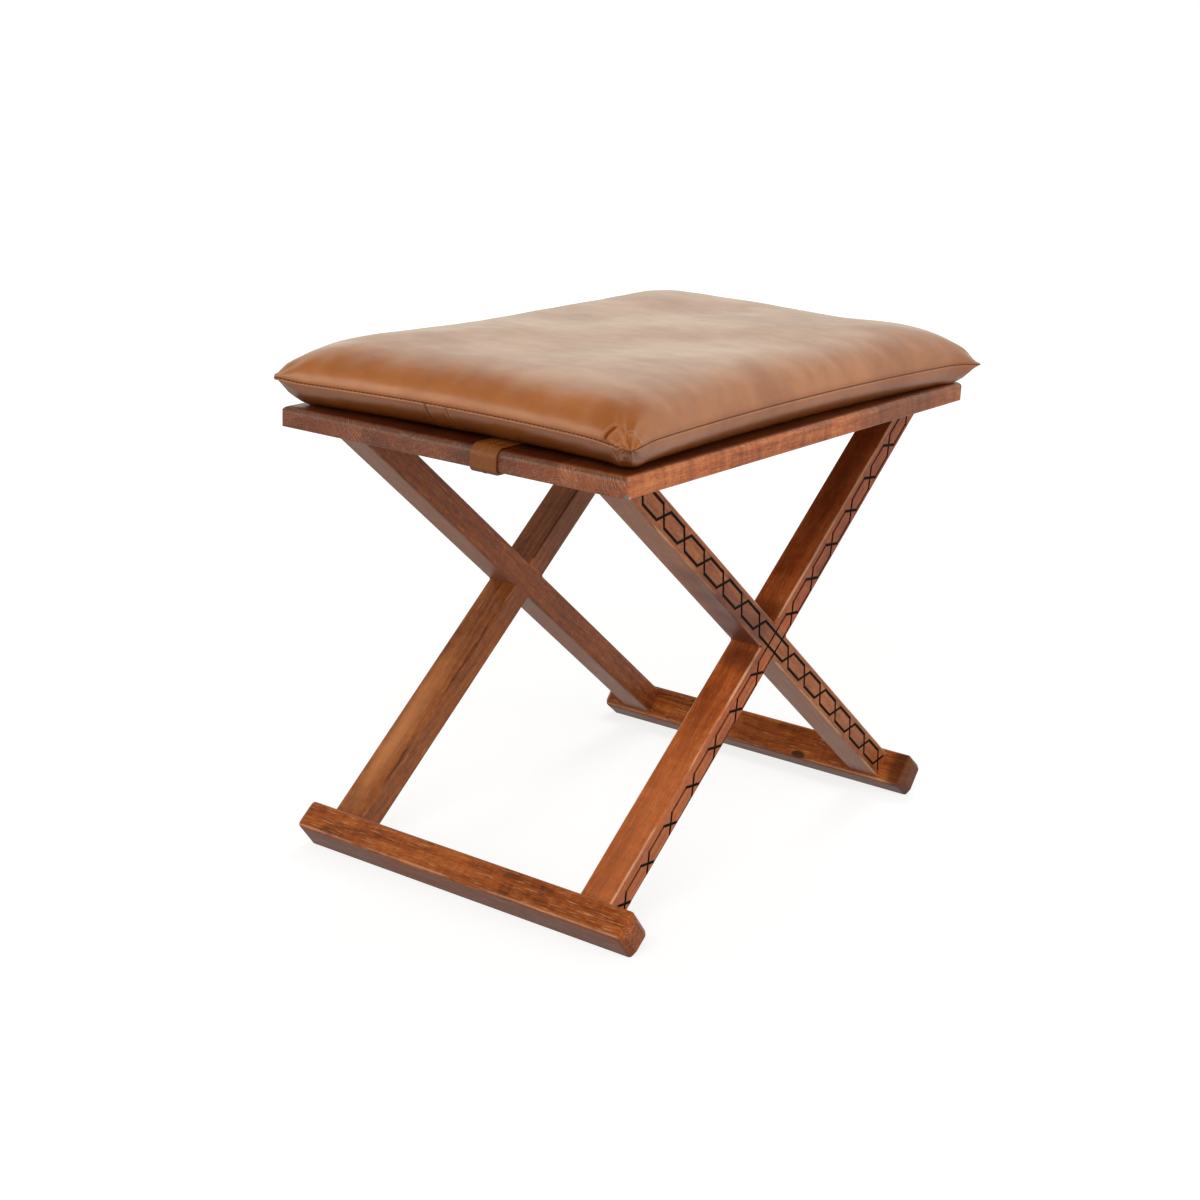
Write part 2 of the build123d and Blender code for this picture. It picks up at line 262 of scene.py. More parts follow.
@dataclass(frozen=True)
class Carving:
    """Line pattern cut into the outer face of a leg and burnt in with a hot iron.

    Two lines cross at an even pitch, at 45 degrees, and run straight along the leg between the
    crossings. The iron leaves the eye near-black cuts with a narrow smoky rim.
    """

    drop: float = 0.0
    drift: float = 0.0
    fade: float = 0.0
    first: float = 37.4 * MM
    pitch: float = 44.3 * MM
    last: float = 311.2 * MM
    half_width: float = 8 * MM
    line_width: float = 2.4 * MM
    floor_from: float = 0.7 * MM
    floor_to: float = 1.5 * MM
    rim_depth: float = 0.3 * MM
    rim_reach: float = 0.7 * MM
    rim_strength: float = 0.85
    char: str = "#0A0302"
    matt: float = 0.5

    def cuts(self, point: WoodPoint, lie: GrainLie, depth: bpy.types.NodeSocket) -> bpy.types.NodeSocket:
        """Mask of the upright walls of the cuts, and of their floors under the outer face."""
        tree = point.tree
        flat = maths(tree, "ABSOLUTE", point.facing[0])
        height = maths(tree, "ABSOLUTE", point.axes[2])
        within = maths(tree, "LESS_THAN", height, lie.half_up - 0.03 * MM)
        wall = product(tree, maths(tree, "LESS_THAN", flat, 0.02), within)
        low = maths(tree, "GREATER_THAN", depth, self.floor_from)
        ground = product(tree, maths(tree, "GREATER_THAN", flat, 0.98), low)
        near = maths(tree, "LESS_THAN", depth, self.floor_to)
        return product(tree, maths(tree, "MAXIMUM", wall, ground), near)

    def beside(self, point: WoodPoint) -> bpy.types.NodeSocket:
        """Distance along the leg to the nearest crossing; there is none about the leg's middle."""
        tree = point.tree
        from_first = maths(tree, "SUBTRACT", maths(tree, "ABSOLUTE", point.axes[0]), self.first)
        nearest = maths(tree, "PINGPONG", from_first, self.pitch / 2)
        return maths(tree, "MAXIMUM", nearest, maths(tree, "MULTIPLY", from_first, -1.0))

    def rim(self, point: WoodPoint, beside: bpy.types.NodeSocket,
            depth: bpy.types.NodeSocket) -> bpy.types.NodeSocket:
        """Smoke on the outer face: strongest beside each line, and gone within the rim's reach."""
        tree = point.tree
        low = maths(tree, "MULTIPLY_ADD", point.axes[0], self.drift, self.drop)
        height = maths(tree, "ABSOLUTE", maths(tree, "ADD", point.axes[2], low))
        line = maths(tree, "MINIMUM", beside, self.half_width)
        gap = maths(tree, "ABSOLUTE", maths(tree, "SUBTRACT", height, line))
        slanted = maths(tree, "LESS_THAN", beside, self.half_width)
        gap = product(tree, gap, maths(tree, "MULTIPLY_ADD", slanted, math.sqrt(0.5) - 1, 1.0))
        smoke = ramp(tree, gap, self.line_width / 2, self.line_width / 2 + self.rim_reach,
                     self.rim_strength, 0.0)
        outward = maths(tree, "GREATER_THAN", maths(tree, "ABSOLUTE", point.facing[0]), 0.98)
        skin = maths(tree, "LESS_THAN", depth, self.rim_depth)
        before = maths(tree, "LESS_THAN", maths(tree, "ABSOLUTE", point.axes[0]), self.last)
        return product(tree, smoke, outward, skin, before)

    def mask(self, point: WoodPoint, lie: GrainLie) -> bpy.types.NodeSocket:
        """How charred the wood is: the cuts and their rim, fainter on the straight lines where set.

        Args:
            point: what the shader knows of the point.
            lie: how the grain lies in the leg.

        Returns:
            The mask, one where the wood is charred black.
        """
        tree = point.tree
        side = add(tree, "ShaderNodeSeparateXYZ", {0: point.coords}).outputs[0]
        outer = abs(lie.origin[0]) + lie.half_across
        depth = maths(tree, "SUBTRACT", outer, maths(tree, "ABSOLUTE", side))
        beside = self.beside(point)
        burnt = maths(tree, "MAXIMUM", self.cuts(point, lie, depth), self.rim(point, beside, depth))
        straight = maths(tree, "GREATER_THAN", beside, self.half_width + 0.6 * MM)
        return product(tree, burnt, maths(tree, "MULTIPLY_ADD", straight, -self.fade, 1.0))


@dataclass(frozen=True)
class Hardwood:
    """Sheesham (Indian rosewood), planed, stained red-brown and finished in satin lacquer.

    The stain gives the eye warm brown with near-black growth lines, the open pores show as short
    dark dashes along the grain, and the lacquer adds a soft sheen that greys at a flat angle.
    """

    name: str
    lie: GrainLie
    dark: str
    middle: str
    light: str
    pith: tuple[float, float]
    ring_spacing: float
    seed: float
    pore: str = "#2E1206"
    fleck: str = "#D49A68"
    # Colour of the long edges: pale here, partly rubbed stain and partly a painted highlight
    edge_colour: str = "#DDB594"
    fibres: Blots = Blots((0.09, 1, 1), 1.3 * MM, 3, 0.3, bent=True)
    figures: Blots = Blots((1, 0.22, 0.22), 7 * MM, 3, 0.7)
    clouds: Blots = Blots((0.4, 1, 1), 40 * MM, 4, 1.1)
    pores: Blots = Blots((0.22, 1, 1), 1.0 * MM, 1, 1.7)
    flecks: Blots = Blots((0.07, 1, 1), 1.3 * MM, 2, 2.3)
    streaks: Blots = Blots((0.05, 1, 1), 4 * MM, 3, 2.9, bent=True)
    edge_blots: Blots = Blots((0.2, 1, 1), 12 * MM, 4, 3.1)
    hatches: Blots = Blots((1, 1.6, 0.25), 1.3 * MM, 2, 4.3)
    patches: Blots = Blots((1, 0.5, 1), 16 * MM, 2, 6.1)
    embers: Blots = Blots((1, 1, 1), 4 * MM, 3, 5.9)
    ring_weight: float = 0.10
    fibre_weight: float = 0.45
    figure_weight: float = 0.35
    streak_weight: float = 0.40
    mottle_weight: float = 0.80
    pore_strength: float = 0.42
    fleck_strength: float = 0.35
    # Share of the edge colour along the long edges, and how far in it reaches
    edge_tint: float = 0.6
    edge_reach: float = 2.4 * MM
    lap: float = 0.0
    roughness: float = 0.38
    gloss: float = 1.44
    lacquer: float = 0.0
    # Painted light on faces that look down: painted shade with a dark colour, a painted sheen with a pale
    # one
    under_painted_light: float = 0.0
    under_painted_colour: str = "#56240C"
    end_shade: float = 0.0
    end_arc_spacing: float = 2.0 * MM
    # End grain colour: more stain soaked in, and painted shade on the top rounding
    soaked_and_shaded: str = "#4A3027"
    end_fibre: str = "#B49484"
    ember: str = "#985230"
    # Painted shadow of the cushion on faces that look up, and its colour
    top_painted_shadow: float = 0.0
    top_shadow_colour: str = "#43150C"
    carving: Carving | None = None
    spots: tuple[Spot, ...] = ()

    def point(self, tree: bpy.types.NodeTree) -> WoodPoint:
        """Place of the shaded point in the member and in the stem that it was cut from."""
        coords = add(tree, "ShaderNodeTexCoord").outputs["Object"]
        seen = add(tree, "ShaderNodeNewGeometry").outputs["True Normal"]
        inputs = {"Vector": coords, "Location": self.lie.origin, "Rotation": self.lie.turn()}
        place = add(tree, "ShaderNodeMapping", inputs, vector_type="TEXTURE").outputs[0]

        # The grain sways a little on its way along the member
        inputs = {"Vector": place, "Scale": (0.14, 1, 1), "Location": (self.seed,) * 3}
        drawn = add(tree, "ShaderNodeMapping", inputs).outputs[0]
        sway = add(tree, "ShaderNodeTexNoise", {"Vector": drawn, "Scale": 13, "Detail": 2}).outputs["Color"]
        inputs = {0: sway, 1: (0.5, 0.5, 0.5)}
        centred = add(tree, "ShaderNodeVectorMath", inputs, operation="SUBTRACT").outputs[0]
        inputs = {0: centred, 1: (0.0, 0.055, 0.055), 2: place}
        bent = add(tree, "ShaderNodeVectorMath", inputs, operation="MULTIPLY_ADD").outputs[0]
        inputs = {0: bent, 1: (0, *self.pith)}
        from_pith = add(tree, "ShaderNodeVectorMath", inputs, operation="SUBTRACT").outputs[0]
        facing = add(tree, "ShaderNodeSeparateXYZ", {0: seen}).outputs
        axes = add(tree, "ShaderNodeSeparateXYZ", {0: place}).outputs
        return WoodPoint(tree, coords, facing, place, axes, bent, from_pith)

    def noise(self, point: WoodPoint, blots: Blots) -> bpy.types.NodeSocket:
        """Noise of one of the patterns on this member, mostly between 0.3 and 0.7."""
        place = point.bent if blots.bent else point.place
        inputs = {"Vector": place, "Scale": blots.scale, "Location": (self.seed + blots.shift,) * 3}
        moved = add(point.tree, "ShaderNodeMapping", inputs, vector_type="POINT").outputs[0]
        inputs = {"Vector": moved, "Scale": 1 / blots.width, "Detail": blots.detail, "Roughness": 0.6}
        return add(point.tree, "ShaderNodeTexNoise", inputs).outputs[0]

    def rings(self, point: WoodPoint, spacing: float, distortion: float,
              detail_scale: float) -> bpy.types.NodeSocket:
        """Growth rings round the pith, an even spacing apart but for their distortion."""
        inputs = {"Vector": point.from_pith, "Scale": 2 * math.pi / 20 / spacing,
                  "Distortion": distortion, "Detail": 2.0, "Detail Scale": detail_scale}
        return add(point.tree, "ShaderNodeTexWave", inputs, wave_type="RINGS", rings_direction="X",
                   wave_profile="SIN").outputs["Fac"]

    def stained(self, point: WoodPoint, fibre: bpy.types.NodeSocket, mottle: bpy.types.NodeSocket,
                pores: bpy.types.NodeSocket) -> bpy.types.NodeSocket:
        """Colour of the stained wood: its patterns pick a tone, and pores and flecks lie over it.

        Args:
            point: what the shader knows of the point.
            fibre: pattern of the fine fibres.
            mottle: pattern of the broad clouds.
            pores: mask of the open pores.

        Returns:
            The colour.
        """
        tree = point.tree
        figure = self.noise(point, self.figures)
        streak = self.noise(point, self.streaks)
        rings = self.rings(point, self.ring_spacing, 3.0, 0.25)
        tone: Any = 0.5
        for part, weight in ((rings, self.ring_weight), (fibre, self.fibre_weight),
                             (figure, self.figure_weight), (streak, self.streak_weight),
                             (mottle, self.mottle_weight)):
            offset = maths(tree, "SUBTRACT", part, 0.5)
            tone = maths(tree, "MULTIPLY_ADD", offset, weight, tone)
        stops = add(tree, "ShaderNodeValToRGB", {"Fac": tone})
        first, last = stops.color_ramp.elements
        first.position, first.color = 0.22, linear(self.dark)
        last.position, last.color = 0.78, linear(self.light)
        stops.color_ramp.elements.new(0.5).color = linear(self.middle)

        share = product(tree, pores, self.pore_strength)
        colour = mix_colour(tree, share, stops.outputs[0], linear(self.pore))
        flecks = ramp(tree, self.noise(point, self.flecks), 0.57, 0.72)
        return mix_colour(tree, product(tree, flecks, self.fleck_strength), colour, linear(self.fleck))

    def edge_mask(self, point: WoodPoint) -> bpy.types.NodeSocket:
        """Mask of the long edges that take the edge colour: rubbed stain, and on pale edges a painted
        highlight too; none inside a lap joint.
        """
        tree = point.tree
        edge: Any = 1.0
        for axis, half in ((1, self.lie.half_across), (2, self.lie.half_up)):
            away = maths(tree, "ABSOLUTE", point.axes[axis])
            edge = product(tree, ramp(tree, away, half - self.edge_reach, half - 0.8 * MM), edge)
        patchy = ramp(tree, self.noise(point, self.edge_blots), 0.36, 0.56)
        beyond = maths(tree, "GREATER_THAN", maths(tree, "ABSOLUTE", point.axes[0]), self.lap)
        return product(tree, edge, patchy, self.edge_tint, beyond)

    def end_grain(self, point: WoodPoint, colour: bpy.types.NodeSocket) -> bpy.types.NodeSocket:
        """Lay end grain over the faces across the member.

        It drinks more stain, so it is darker, with pale hatched arcs and small redder blots, and painted
        shade where it turns up into the top rounding.

        Args:
            point: what the shader knows of the point.
            colour: colour of the wood so far.

        Returns:
            The colour with the end grain.
        """
        tree = point.tree
        end = ramp(tree, maths(tree, "ABSOLUTE", point.facing[1]), 0.25, 0.8)
        arcs = ramp(tree, self.rings(point, self.end_arc_spacing, 4.0, 0.3), 0.45, 0.9)
        hatch = ramp(tree, self.noise(point, self.hatches), 0.42, 0.62)
        patch = ramp(tree, self.noise(point, self.patches), 0.42, 0.60, 0.05, 0.5)
        # Painted shade: darker where the end face turns up into the top rounding
        rim = ramp(tree, point.facing[2], 0.12, 0.5, 0.5, 0.9)
        shade = mix_colour(tree, rim, colour, linear(self.soaked_and_shaded))
        shade = mix_colour(tree, product(tree, arcs, hatch, patch), shade, linear(self.end_fibre))
        embers = ramp(tree, self.noise(point, self.embers), 0.60, 0.72)
        shade = mix_colour(tree, embers, shade, linear(self.ember))
        return mix_colour(tree, product(tree, end, self.end_shade), colour, shade)

    def marked(self, point: WoodPoint, colour: bpy.types.NodeSocket) -> bpy.types.NodeSocket:
        """Lay each spot over the colour: an ellipsoid whose mask fades from its core outwards."""
        tree = point.tree
        for spot in self.spots:
            inputs = {"Vector": point.coords, "Location": spot.place, "Scale": spot.reach}
            ball = add(tree, "ShaderNodeMapping", inputs, vector_type="TEXTURE").outputs[0]
            away = add(tree, "ShaderNodeVectorMath", {0: ball}, operation="LENGTH").outputs["Value"]
            mask = product(tree, ramp(tree, away, spot.core, 1.05, 1.0, 0.0), spot.strength)
            colour = mix_colour(tree, mask, colour, linear(spot.colour))
        return colour

    def make(self) -> bpy.types.Material:
        """Build the finish: stained grain, edges, end grain, painted shadow and light, marks and carving.

        Returns:
            The material for the one member that this lie belongs to.
        """
        material, tree, shader = new_material(self.name)
        point = self.point(tree)
        fibre = self.noise(point, self.fibres)
        mottle = self.noise(point, self.clouds)
        pores = ramp(tree, self.noise(point, self.pores), 0.58, 0.70)
        colour = self.stained(point, fibre, mottle, pores)
        # Edges: rubbed stain, with a painted highlight where they are pale
        colour = mix_colour(tree, self.edge_mask(point), colour, linear(self.edge_colour))
        if self.end_shade:
            colour = self.end_grain(point, colour)
        # Painted shadow of the cushion on faces that look up
        if self.top_painted_shadow:
            top = ramp(tree, point.facing[2], 0.75, 0.97, 0.0, self.top_painted_shadow)
            colour = mix_colour(tree, top, colour, linear(self.top_shadow_colour))
        # Painted shade on downward faces of the foot bars, a painted sheen on those of the rear legs
        if self.under_painted_light:
            under = ramp(tree, point.facing[2], -0.7, -0.2, self.under_painted_light, 0.0)
            colour = mix_colour(tree, under, colour, linear(self.under_painted_colour))
        colour = self.marked(point, colour)
        rough = ramp(tree, mottle, 0.3, 0.7, self.roughness - 0.06, self.roughness + 0.08)
        if self.carving:
            burnt = self.carving.mask(point, self.lie)
            colour = mix_colour(tree, burnt, colour, linear(self.carving.char))
            rough = maths(tree, "MULTIPLY_ADD", burnt, self.carving.matt, rough)
        tree.links.new(colour, shader.inputs["Base Color"])
        tree.links.new(rough, shader.inputs["Roughness"])
        shader.inputs["IOR"].default_value = self.gloss
        shader.inputs["Coat Weight"].default_value = self.lacquer
        shader.inputs["Coat Roughness"].default_value = 0.2

        height = maths(tree, "MULTIPLY_ADD", pores, -0.6, fibre)
        inputs = {"Height": height, "Strength": 0.35, "Distance": 0.25 * MM}
        tree.links.new(add(tree, "ShaderNodeBump", inputs).outputs[0], shader.inputs["Normal"])
        return material


@dataclass(frozen=True)
class Leather:
    """Vegetable-tanned cowhide, aniline dyed cognac and waxed by hand.

    The wax gives the eye a broad soft sheen, the thin dye leaves clouds of lighter and darker brown,
    and the fine pebble grain breaks up the highlights.
    """

    name: str
    deep: str
    light: str
    # Colour of the painted shade in the seam's groove, the pinched fold and on downward faces, also of the
    # joins
    crease_shade: str = "#5A2A0A"
    cloud_size: float = 90 * MM
    pebble_size: float = 1.6 * MM
    pebble_depth: float = 0.10 * MM
    roughness: float = 0.37
    wax: float = 0.7
    seam_shade_reach: float = 1.1 * MM
    # Painted shade on faces that turn downwards
    under_painted_light: float = 0.65

    def make(self) -> bpy.types.Material:
        """Build the finish from dye clouds, pull-up streaks, pebble grain, and painted shade at the seam
        and on downward faces.

        Returns:
            The material; the attribute named seam holds each point's distance to its seam.
        """
        material, tree, shader = new_material(self.name)
        place = add(tree, "ShaderNodeTexCoord").outputs["Object"]
        inputs = {"Vector": place, "Scale": 1 / self.cloud_size, "Detail": 4, "Roughness": 0.55}
        clouds = add(tree, "ShaderNodeTexNoise", inputs).outputs[0]
        inputs = {"Vector": place, "Scale": (0.35, 1.0, 1.0), "Rotation": (0, 0, math.radians(28))}
        drawn = add(tree, "ShaderNodeMapping", inputs).outputs[0]
        inputs = {"Vector": drawn, "Scale": 1 / (16 * MM), "Detail": 3, "Roughness": 0.6}
        pull = add(tree, "ShaderNodeTexNoise", inputs).outputs[0]
        tone = maths(tree, "MULTIPLY_ADD", maths(tree, "SUBTRACT", pull, 0.5), 0.25, clouds)
        colour = mix_colour(tree, ramp(tree, tone, 0.2, 0.8), linear(self.deep), linear(self.light))
        # Painted shade on faces that turn downwards
        seen = add(tree, "ShaderNodeNewGeometry")
        facing = add(tree, "ShaderNodeSeparateXYZ", {0: seen.outputs["Normal"]}).outputs[2]
        under = ramp(tree, facing, -0.7, -0.05, self.under_painted_light, 0.0)
        colour = mix_colour(tree, under, colour, linear(self.crease_shade))
        # Painted shade in the seam's groove, the pinched fold and along the strap's stitch rows, and darker
        # joins, placed by the seam attribute
        away = add(tree, "ShaderNodeAttribute", attribute_name="seam").outputs["Fac"]
        near = ramp(tree, away, 0.3 * MM, self.seam_shade_reach, 0.9, 0.0)
        colour = mix_colour(tree, near, colour, linear(self.crease_shade))
        tree.links.new(colour, shader.inputs["Base Color"])
        rough = ramp(tree, tone, 0.3, 0.7, self.roughness + 0.08, self.roughness - 0.08)
        rough = maths(tree, "MULTIPLY_ADD", near, 0.4, rough)
        tree.links.new(rough, shader.inputs["Roughness"])
        shader.inputs["IOR"].default_value = 1.5
        shader.inputs["Coat Weight"].default_value = self.wax
        shader.inputs["Coat Roughness"].default_value = 0.25

        inputs = {"Vector": place, "Scale": 1 / self.pebble_size, "Detail": 1.0}
        pebbles = add(tree, "ShaderNodeTexVoronoi", inputs, feature="SMOOTH_F1").outputs["Distance"]
        height = maths(tree, "MULTIPLY_ADD", pull, 0.9, pebbles)
        inputs = {"Height": height, "Strength": 0.5, "Distance": self.pebble_depth}
        tree.links.new(add(tree, "ShaderNodeBump", inputs).outputs[0], shader.inputs["Normal"])
        return material


@dataclass(frozen=True)
class Thread:
    """Bonded polyester sewing thread, twisted: matt, with a fine spiral along each stitch."""

    name: str
    colour: str
    shadow: str

    def make(self) -> bpy.types.Material:
        """Build the finish from a fine light and dark twist.

        Returns:
            The material.
        """
        material, tree, shader = new_material(self.name)
        place = add(tree, "ShaderNodeTexCoord").outputs["Object"]
        twist = add(tree, "ShaderNodeTexNoise", {"Vector": place, "Scale": 1 / (0.8 * MM)}).outputs[0]
        colour = mix_colour(tree, ramp(tree, twist, 0.35, 0.65), linear(self.shadow), linear(self.colour))
        tree.links.new(colour, shader.inputs["Base Color"])
        shader.inputs["Roughness"].default_value = 0.85
        shader.inputs["IOR"].default_value = 1.35
        return material


@dataclass(frozen=True)
class TurnedMetal:
    """Small metal fittings, turned or pressed and then plated or polished.

    The lathe and the press leave fine lines, and handling leaves dull cloudy patches.
    """

    name: str
    bright: str
    dull: str
    roughness: float

    def make(self) -> bpy.types.Material:
        """Build the finish from cloudy tarnish over a polished metal.

        Returns:
            The material.
        """
        material, tree, shader = new_material(self.name)
        place = add(tree, "ShaderNodeTexCoord").outputs["Object"]
        inputs = {"Vector": place, "Scale": 1 / (3 * MM), "Detail": 3}
        cloud = add(tree, "ShaderNodeTexNoise", inputs).outputs[0]
        share = ramp(tree, cloud, 0.4, 0.65)
        colour = mix_colour(tree, share, linear(self.bright), linear(self.dull))
        tree.links.new(colour, shader.inputs["Base Color"])
        rough = ramp(tree, cloud, 0.4, 0.65, self.roughness, self.roughness + 0.2)
        tree.links.new(rough, shader.inputs["Roughness"])
        shader.inputs["Metallic"].default_value = 1.0
        return material


@dataclass(frozen=True)
class Dowel:
    """Beech dowel rod, machine turned, unstained: pale pinkish wood with fine short flecks."""

    name: str = "beech_dowel_rod"
    pale: str = "#C79E78"
    deep: str = "#A87B54"

    def make(self) -> bpy.types.Material:
        """Build the finish from short dark flecks on pale wood.

        Returns:
            The material.
        """
        material, tree, shader = new_material(self.name)
        place = add(tree, "ShaderNodeTexCoord").outputs["Object"]
        inputs = {"Vector": place, "Scale": 1 / (2 * MM), "Detail": 3}
        fleck = add(tree, "ShaderNodeTexNoise", inputs).outputs[0]
        colour = mix_colour(tree, ramp(tree, fleck, 0.35, 0.65), linear(self.pale), linear(self.deep))
        tree.links.new(colour, shader.inputs["Base Color"])
        shader.inputs["Roughness"].default_value = 0.6
        return material


# Mesh helpers


def grid_quads(index: np.ndarray) -> np.ndarray:
    """Faces of a grid of point numbers: each cell of four neighbours is one face."""
    return np.stack([index[:-1, :-1], index[:-1, 1:], index[1:, 1:], index[1:, :-1]], -1).reshape(-1, 4)


def make_piece(name: str, points: np.ndarray, faces: list, body: str) -> bpy.types.Object:
    """Make a smooth mesh object that rides on a body.

    Args:
        name: the piece's name.
        points: places of its vertices, in metres.
        faces: vertex numbers of each face, turning left seen from outside.
        body: the body that carries it.

    Returns:
        The object, at the origin.
    """
    mesh = bpy.data.meshes.new(name)
    mesh.from_pydata(np.asarray(points, float).reshape(-1, 3).tolist(), [], faces)
    mesh.polygons.foreach_set("use_smooth", np.ones(len(mesh.polygons), bool))
    mesh.update()
    piece = bpy.data.objects.new(name, mesh)
    bpy.context.scene.collection.objects.link(piece)
    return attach(piece, body)


def discard(piece: bpy.types.Object) -> None:
    """Remove a piece that only helped to make another."""
    mesh = piece.data
    bpy.data.objects.remove(piece)
    bpy.data.meshes.remove(mesh)


def set_attribute(piece: bpy.types.Object, name: str, values: np.ndarray) -> None:
    """Keep one number for each vertex as a mesh attribute."""
    attribute = piece.data.attributes.new(name, "FLOAT", "POINT")
    attribute.data.foreach_set("value", np.asarray(values, np.float32).ravel())


def unit(vectors: np.ndarray) -> np.ndarray:
    """Vectors along the last axis, each divided by its own length."""
    return vectors / np.maximum(np.linalg.norm(vectors, axis=-1, keepdims=True), 1e-15)


def bell(value: np.ndarray, width: float = 1.0) -> np.ndarray:
    """Bell curve: the exponential of less the square of the value over its width."""
    return np.exp(-(value / width) ** 2)


def hump(away: np.ndarray, reach: float) -> np.ndarray:
    """Nothing at the border, one at the reach, and fading slowly beyond it."""
    return away / reach * np.exp(1 - away / reach)


def running_mean(values: np.ndarray, reach: int, axis: int) -> np.ndarray:
    """Mean of each value and its neighbours along one axis.

    Past the ends the values go on mirrored with the other sign, so the ends themselves stay near
    nothing.

    Args:
        values: grid of vectors.
        reach: how many neighbours on each side.
        axis: the axis to go along.

    Returns:
        The means, in the same grid.
    """
    count, wide = values.shape[axis], 2 * reach + 1
    before = -np.flip(np.take(values, range(1, reach + 1), axis), axis)
    after = -np.flip(np.take(values, range(-reach - 1, -1), axis), axis)
    nothing = np.zeros_like(np.take(values, [0], axis))
    total = np.cumsum(np.concatenate([nothing, before, values, after], axis), axis)
    return (np.take(total, range(wide, wide + count), axis) - np.take(total, range(count), axis)) / wide


def resample(path: np.ndarray, pitch: float, start: float,
             closed: bool = False) -> tuple[np.ndarray, np.ndarray]:
    """Places at an even pitch along a path.

    Args:
        path: points along the path.
        pitch: wanted distance from one place to the next.
        start: distance of the first place from the path's first point.
        closed: whether the path comes back to its first point.

    Returns:
        The places, and the path's direction at each.
    """
    whole = np.vstack([path, path[:1]]) if closed else path
    steps = np.linalg.norm(np.diff(whole, axis=0), axis=1)
    run = np.concatenate([[0.0], np.cumsum(steps)])
    count = int((run[-1] - 2 * start) / pitch) + (0 if closed else 1)
    places = start + np.arange(count) * (run[-1] / count if closed else pitch)
    behind, here, ahead = (
        np.stack([np.interp(places + step, run, whole[:, k]) for k in range(3)], 1)
        for step in (-MM / 2, 0, MM / 2)
    )
    return here, unit(ahead - behind)


def stitches(places: np.ndarray, ways: np.ndarray, outward: np.ndarray, length: float | np.ndarray,
             radius: float | np.ndarray) -> tuple[np.ndarray, list]:
    """Short rods with rounded ends, one for each stitch, as one mesh.

    Each rod is a profile of six-sided rings carried along the seam's direction: its radius grows
    from nothing at one end to the full thread and back.

    Args:
        places: middle of each stitch.
        ways: direction of each stitch.
        outward: direction away from the leather at each stitch.
        length: length of every stitch, or of each.
        radius: radius of the thread in every stitch, or in each.

    Returns:
        Points and faces of all stitches.
    """
    count, sides = len(places), 6
    length, radius = (np.broadcast_to(size, count)[:, None] for size in (length, radius))
    along = np.array([-0.5, -0.42, -0.2, 0.2, 0.42, 0.5]) * length
    thick = np.array([0.0, 0.72, 1.0, 1.0, 0.72, 0.0]) * radius
    sink = -np.array([0.9, 0.5, 0.0, 0.0, 0.5, 0.9]) * radius
    side_way = unit(np.cross(ways, outward))
    upright = np.cross(side_way, ways)
    turn = np.arange(sides) / sides * 2 * math.pi
    ring = (np.cos(turn)[:, None] * side_way[:, None, None, :]
            + np.sin(turn)[:, None] * upright[:, None, None, :])
    centre = (places[:, None, :] + along[..., None] * ways[:, None, :]
              + sink[..., None] * upright[:, None, :])
    rings = centre[:, 1:-1, None, :] + thick[:, 1:-1, None, None] * ring
    middle = along.shape[1] - 2
    each = middle * sides + 2
    points = np.concatenate([rings.reshape(count, -1, 3), centre[:, :1], centre[:, -1:]], axis=1)
    numbers = np.arange(middle * sides).reshape(middle, sides)
    closed = np.concatenate([numbers, numbers[:, :1]], axis=1)
    quads = grid_quads(closed)[:, ::-1]
    near = np.stack([np.full(sides, middle * sides), closed[0, 1:], closed[0, :-1]], 1)[:, ::-1]
    far = np.stack([np.full(sides, middle * sides + 1), closed[-1, :-1], closed[-1, 1:]], 1)[:, ::-1]
    shift = np.arange(count)[:, None, None] * each
    faces = (quads + shift).reshape(-1, 4).tolist()
    faces += (near + shift).reshape(-1, 3).tolist() + (far + shift).reshape(-1, 3).tolist()
    return points.reshape(-1, 3), faces


# Wooden members: the CAD solids, each dressed with its own piece of wood


@dataclass
class SeatBoard:
    """Four planks glued edge to edge, each cut from another place in the log."""

    tones: dict[str, tuple[str, str, str]] = field(default_factory=lambda: {
        "seat_plank_left": ("#4E2010", "#8C4322", "#AC5D33"),
        "seat_plank_mid_left": ("#47200F", "#7C3C20", "#9E5530"),
        "seat_plank_mid_right": ("#4E1E0C", "#8C4019", "#B25C28"),
        "seat_plank_right": ("#64300F", "#AC5828", "#CE7E46"),
    })
    piths: dict[str, tuple[float, float]] = field(default_factory=lambda: {
        "seat_plank_left": (0.05, -0.11),
        "seat_plank_mid_left": (0.03, 0.12),
        "seat_plank_mid_right": (-0.07, -0.10),
        "seat_plank_right": (0.12, -0.06),
    })
    chip: Spot = Spot((0.1955, -0.300, 0.4285), (0.0036, 0.003, 0.0050), "#5A686A", 0.8)
    faded: Spot = Spot((0.1955, 0.190, 0.4380), (0.020, 0.150, 0.040), "#5A3020", 0.6, 0.1)
    bare: Spot = Spot((0.1956, -0.2956, 0.4287), (0.0016, 0.0016, 0.0010), "#E8DCC8", 0.9)

    def build(self) -> None:
        """Dress the planks."""
        for number, (name, (dark, middle, light)) in enumerate(self.tones.items()):
            low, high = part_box(name)
            centre, half = (low + high) / 2, (high - low) / 2
            lie = GrainLie(tuple(centre), (0, 1, 0), (0, 0, 1), half.x, half.z)
            last = name == "seat_plank_right"
            finish = Hardwood(
                f"sheesham_{name}", lie, dark=dark, middle=middle, light=light, pith=self.piths[name],
                ring_spacing=5.5 * MM, figure_weight=0.65, fleck_strength=0.45, edge_tint=0.1,
                # Painted shadow of the cushion on the board's top
                end_shade=0.9, top_painted_shadow=0.8, lacquer=0.2, seed=3.7 * number,
                spots=(self.chip, self.bare, self.faded) if last else (),
            )
            dress(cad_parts[name], finish.make())
        log.info("seat board: %d planks", len(self.tones))


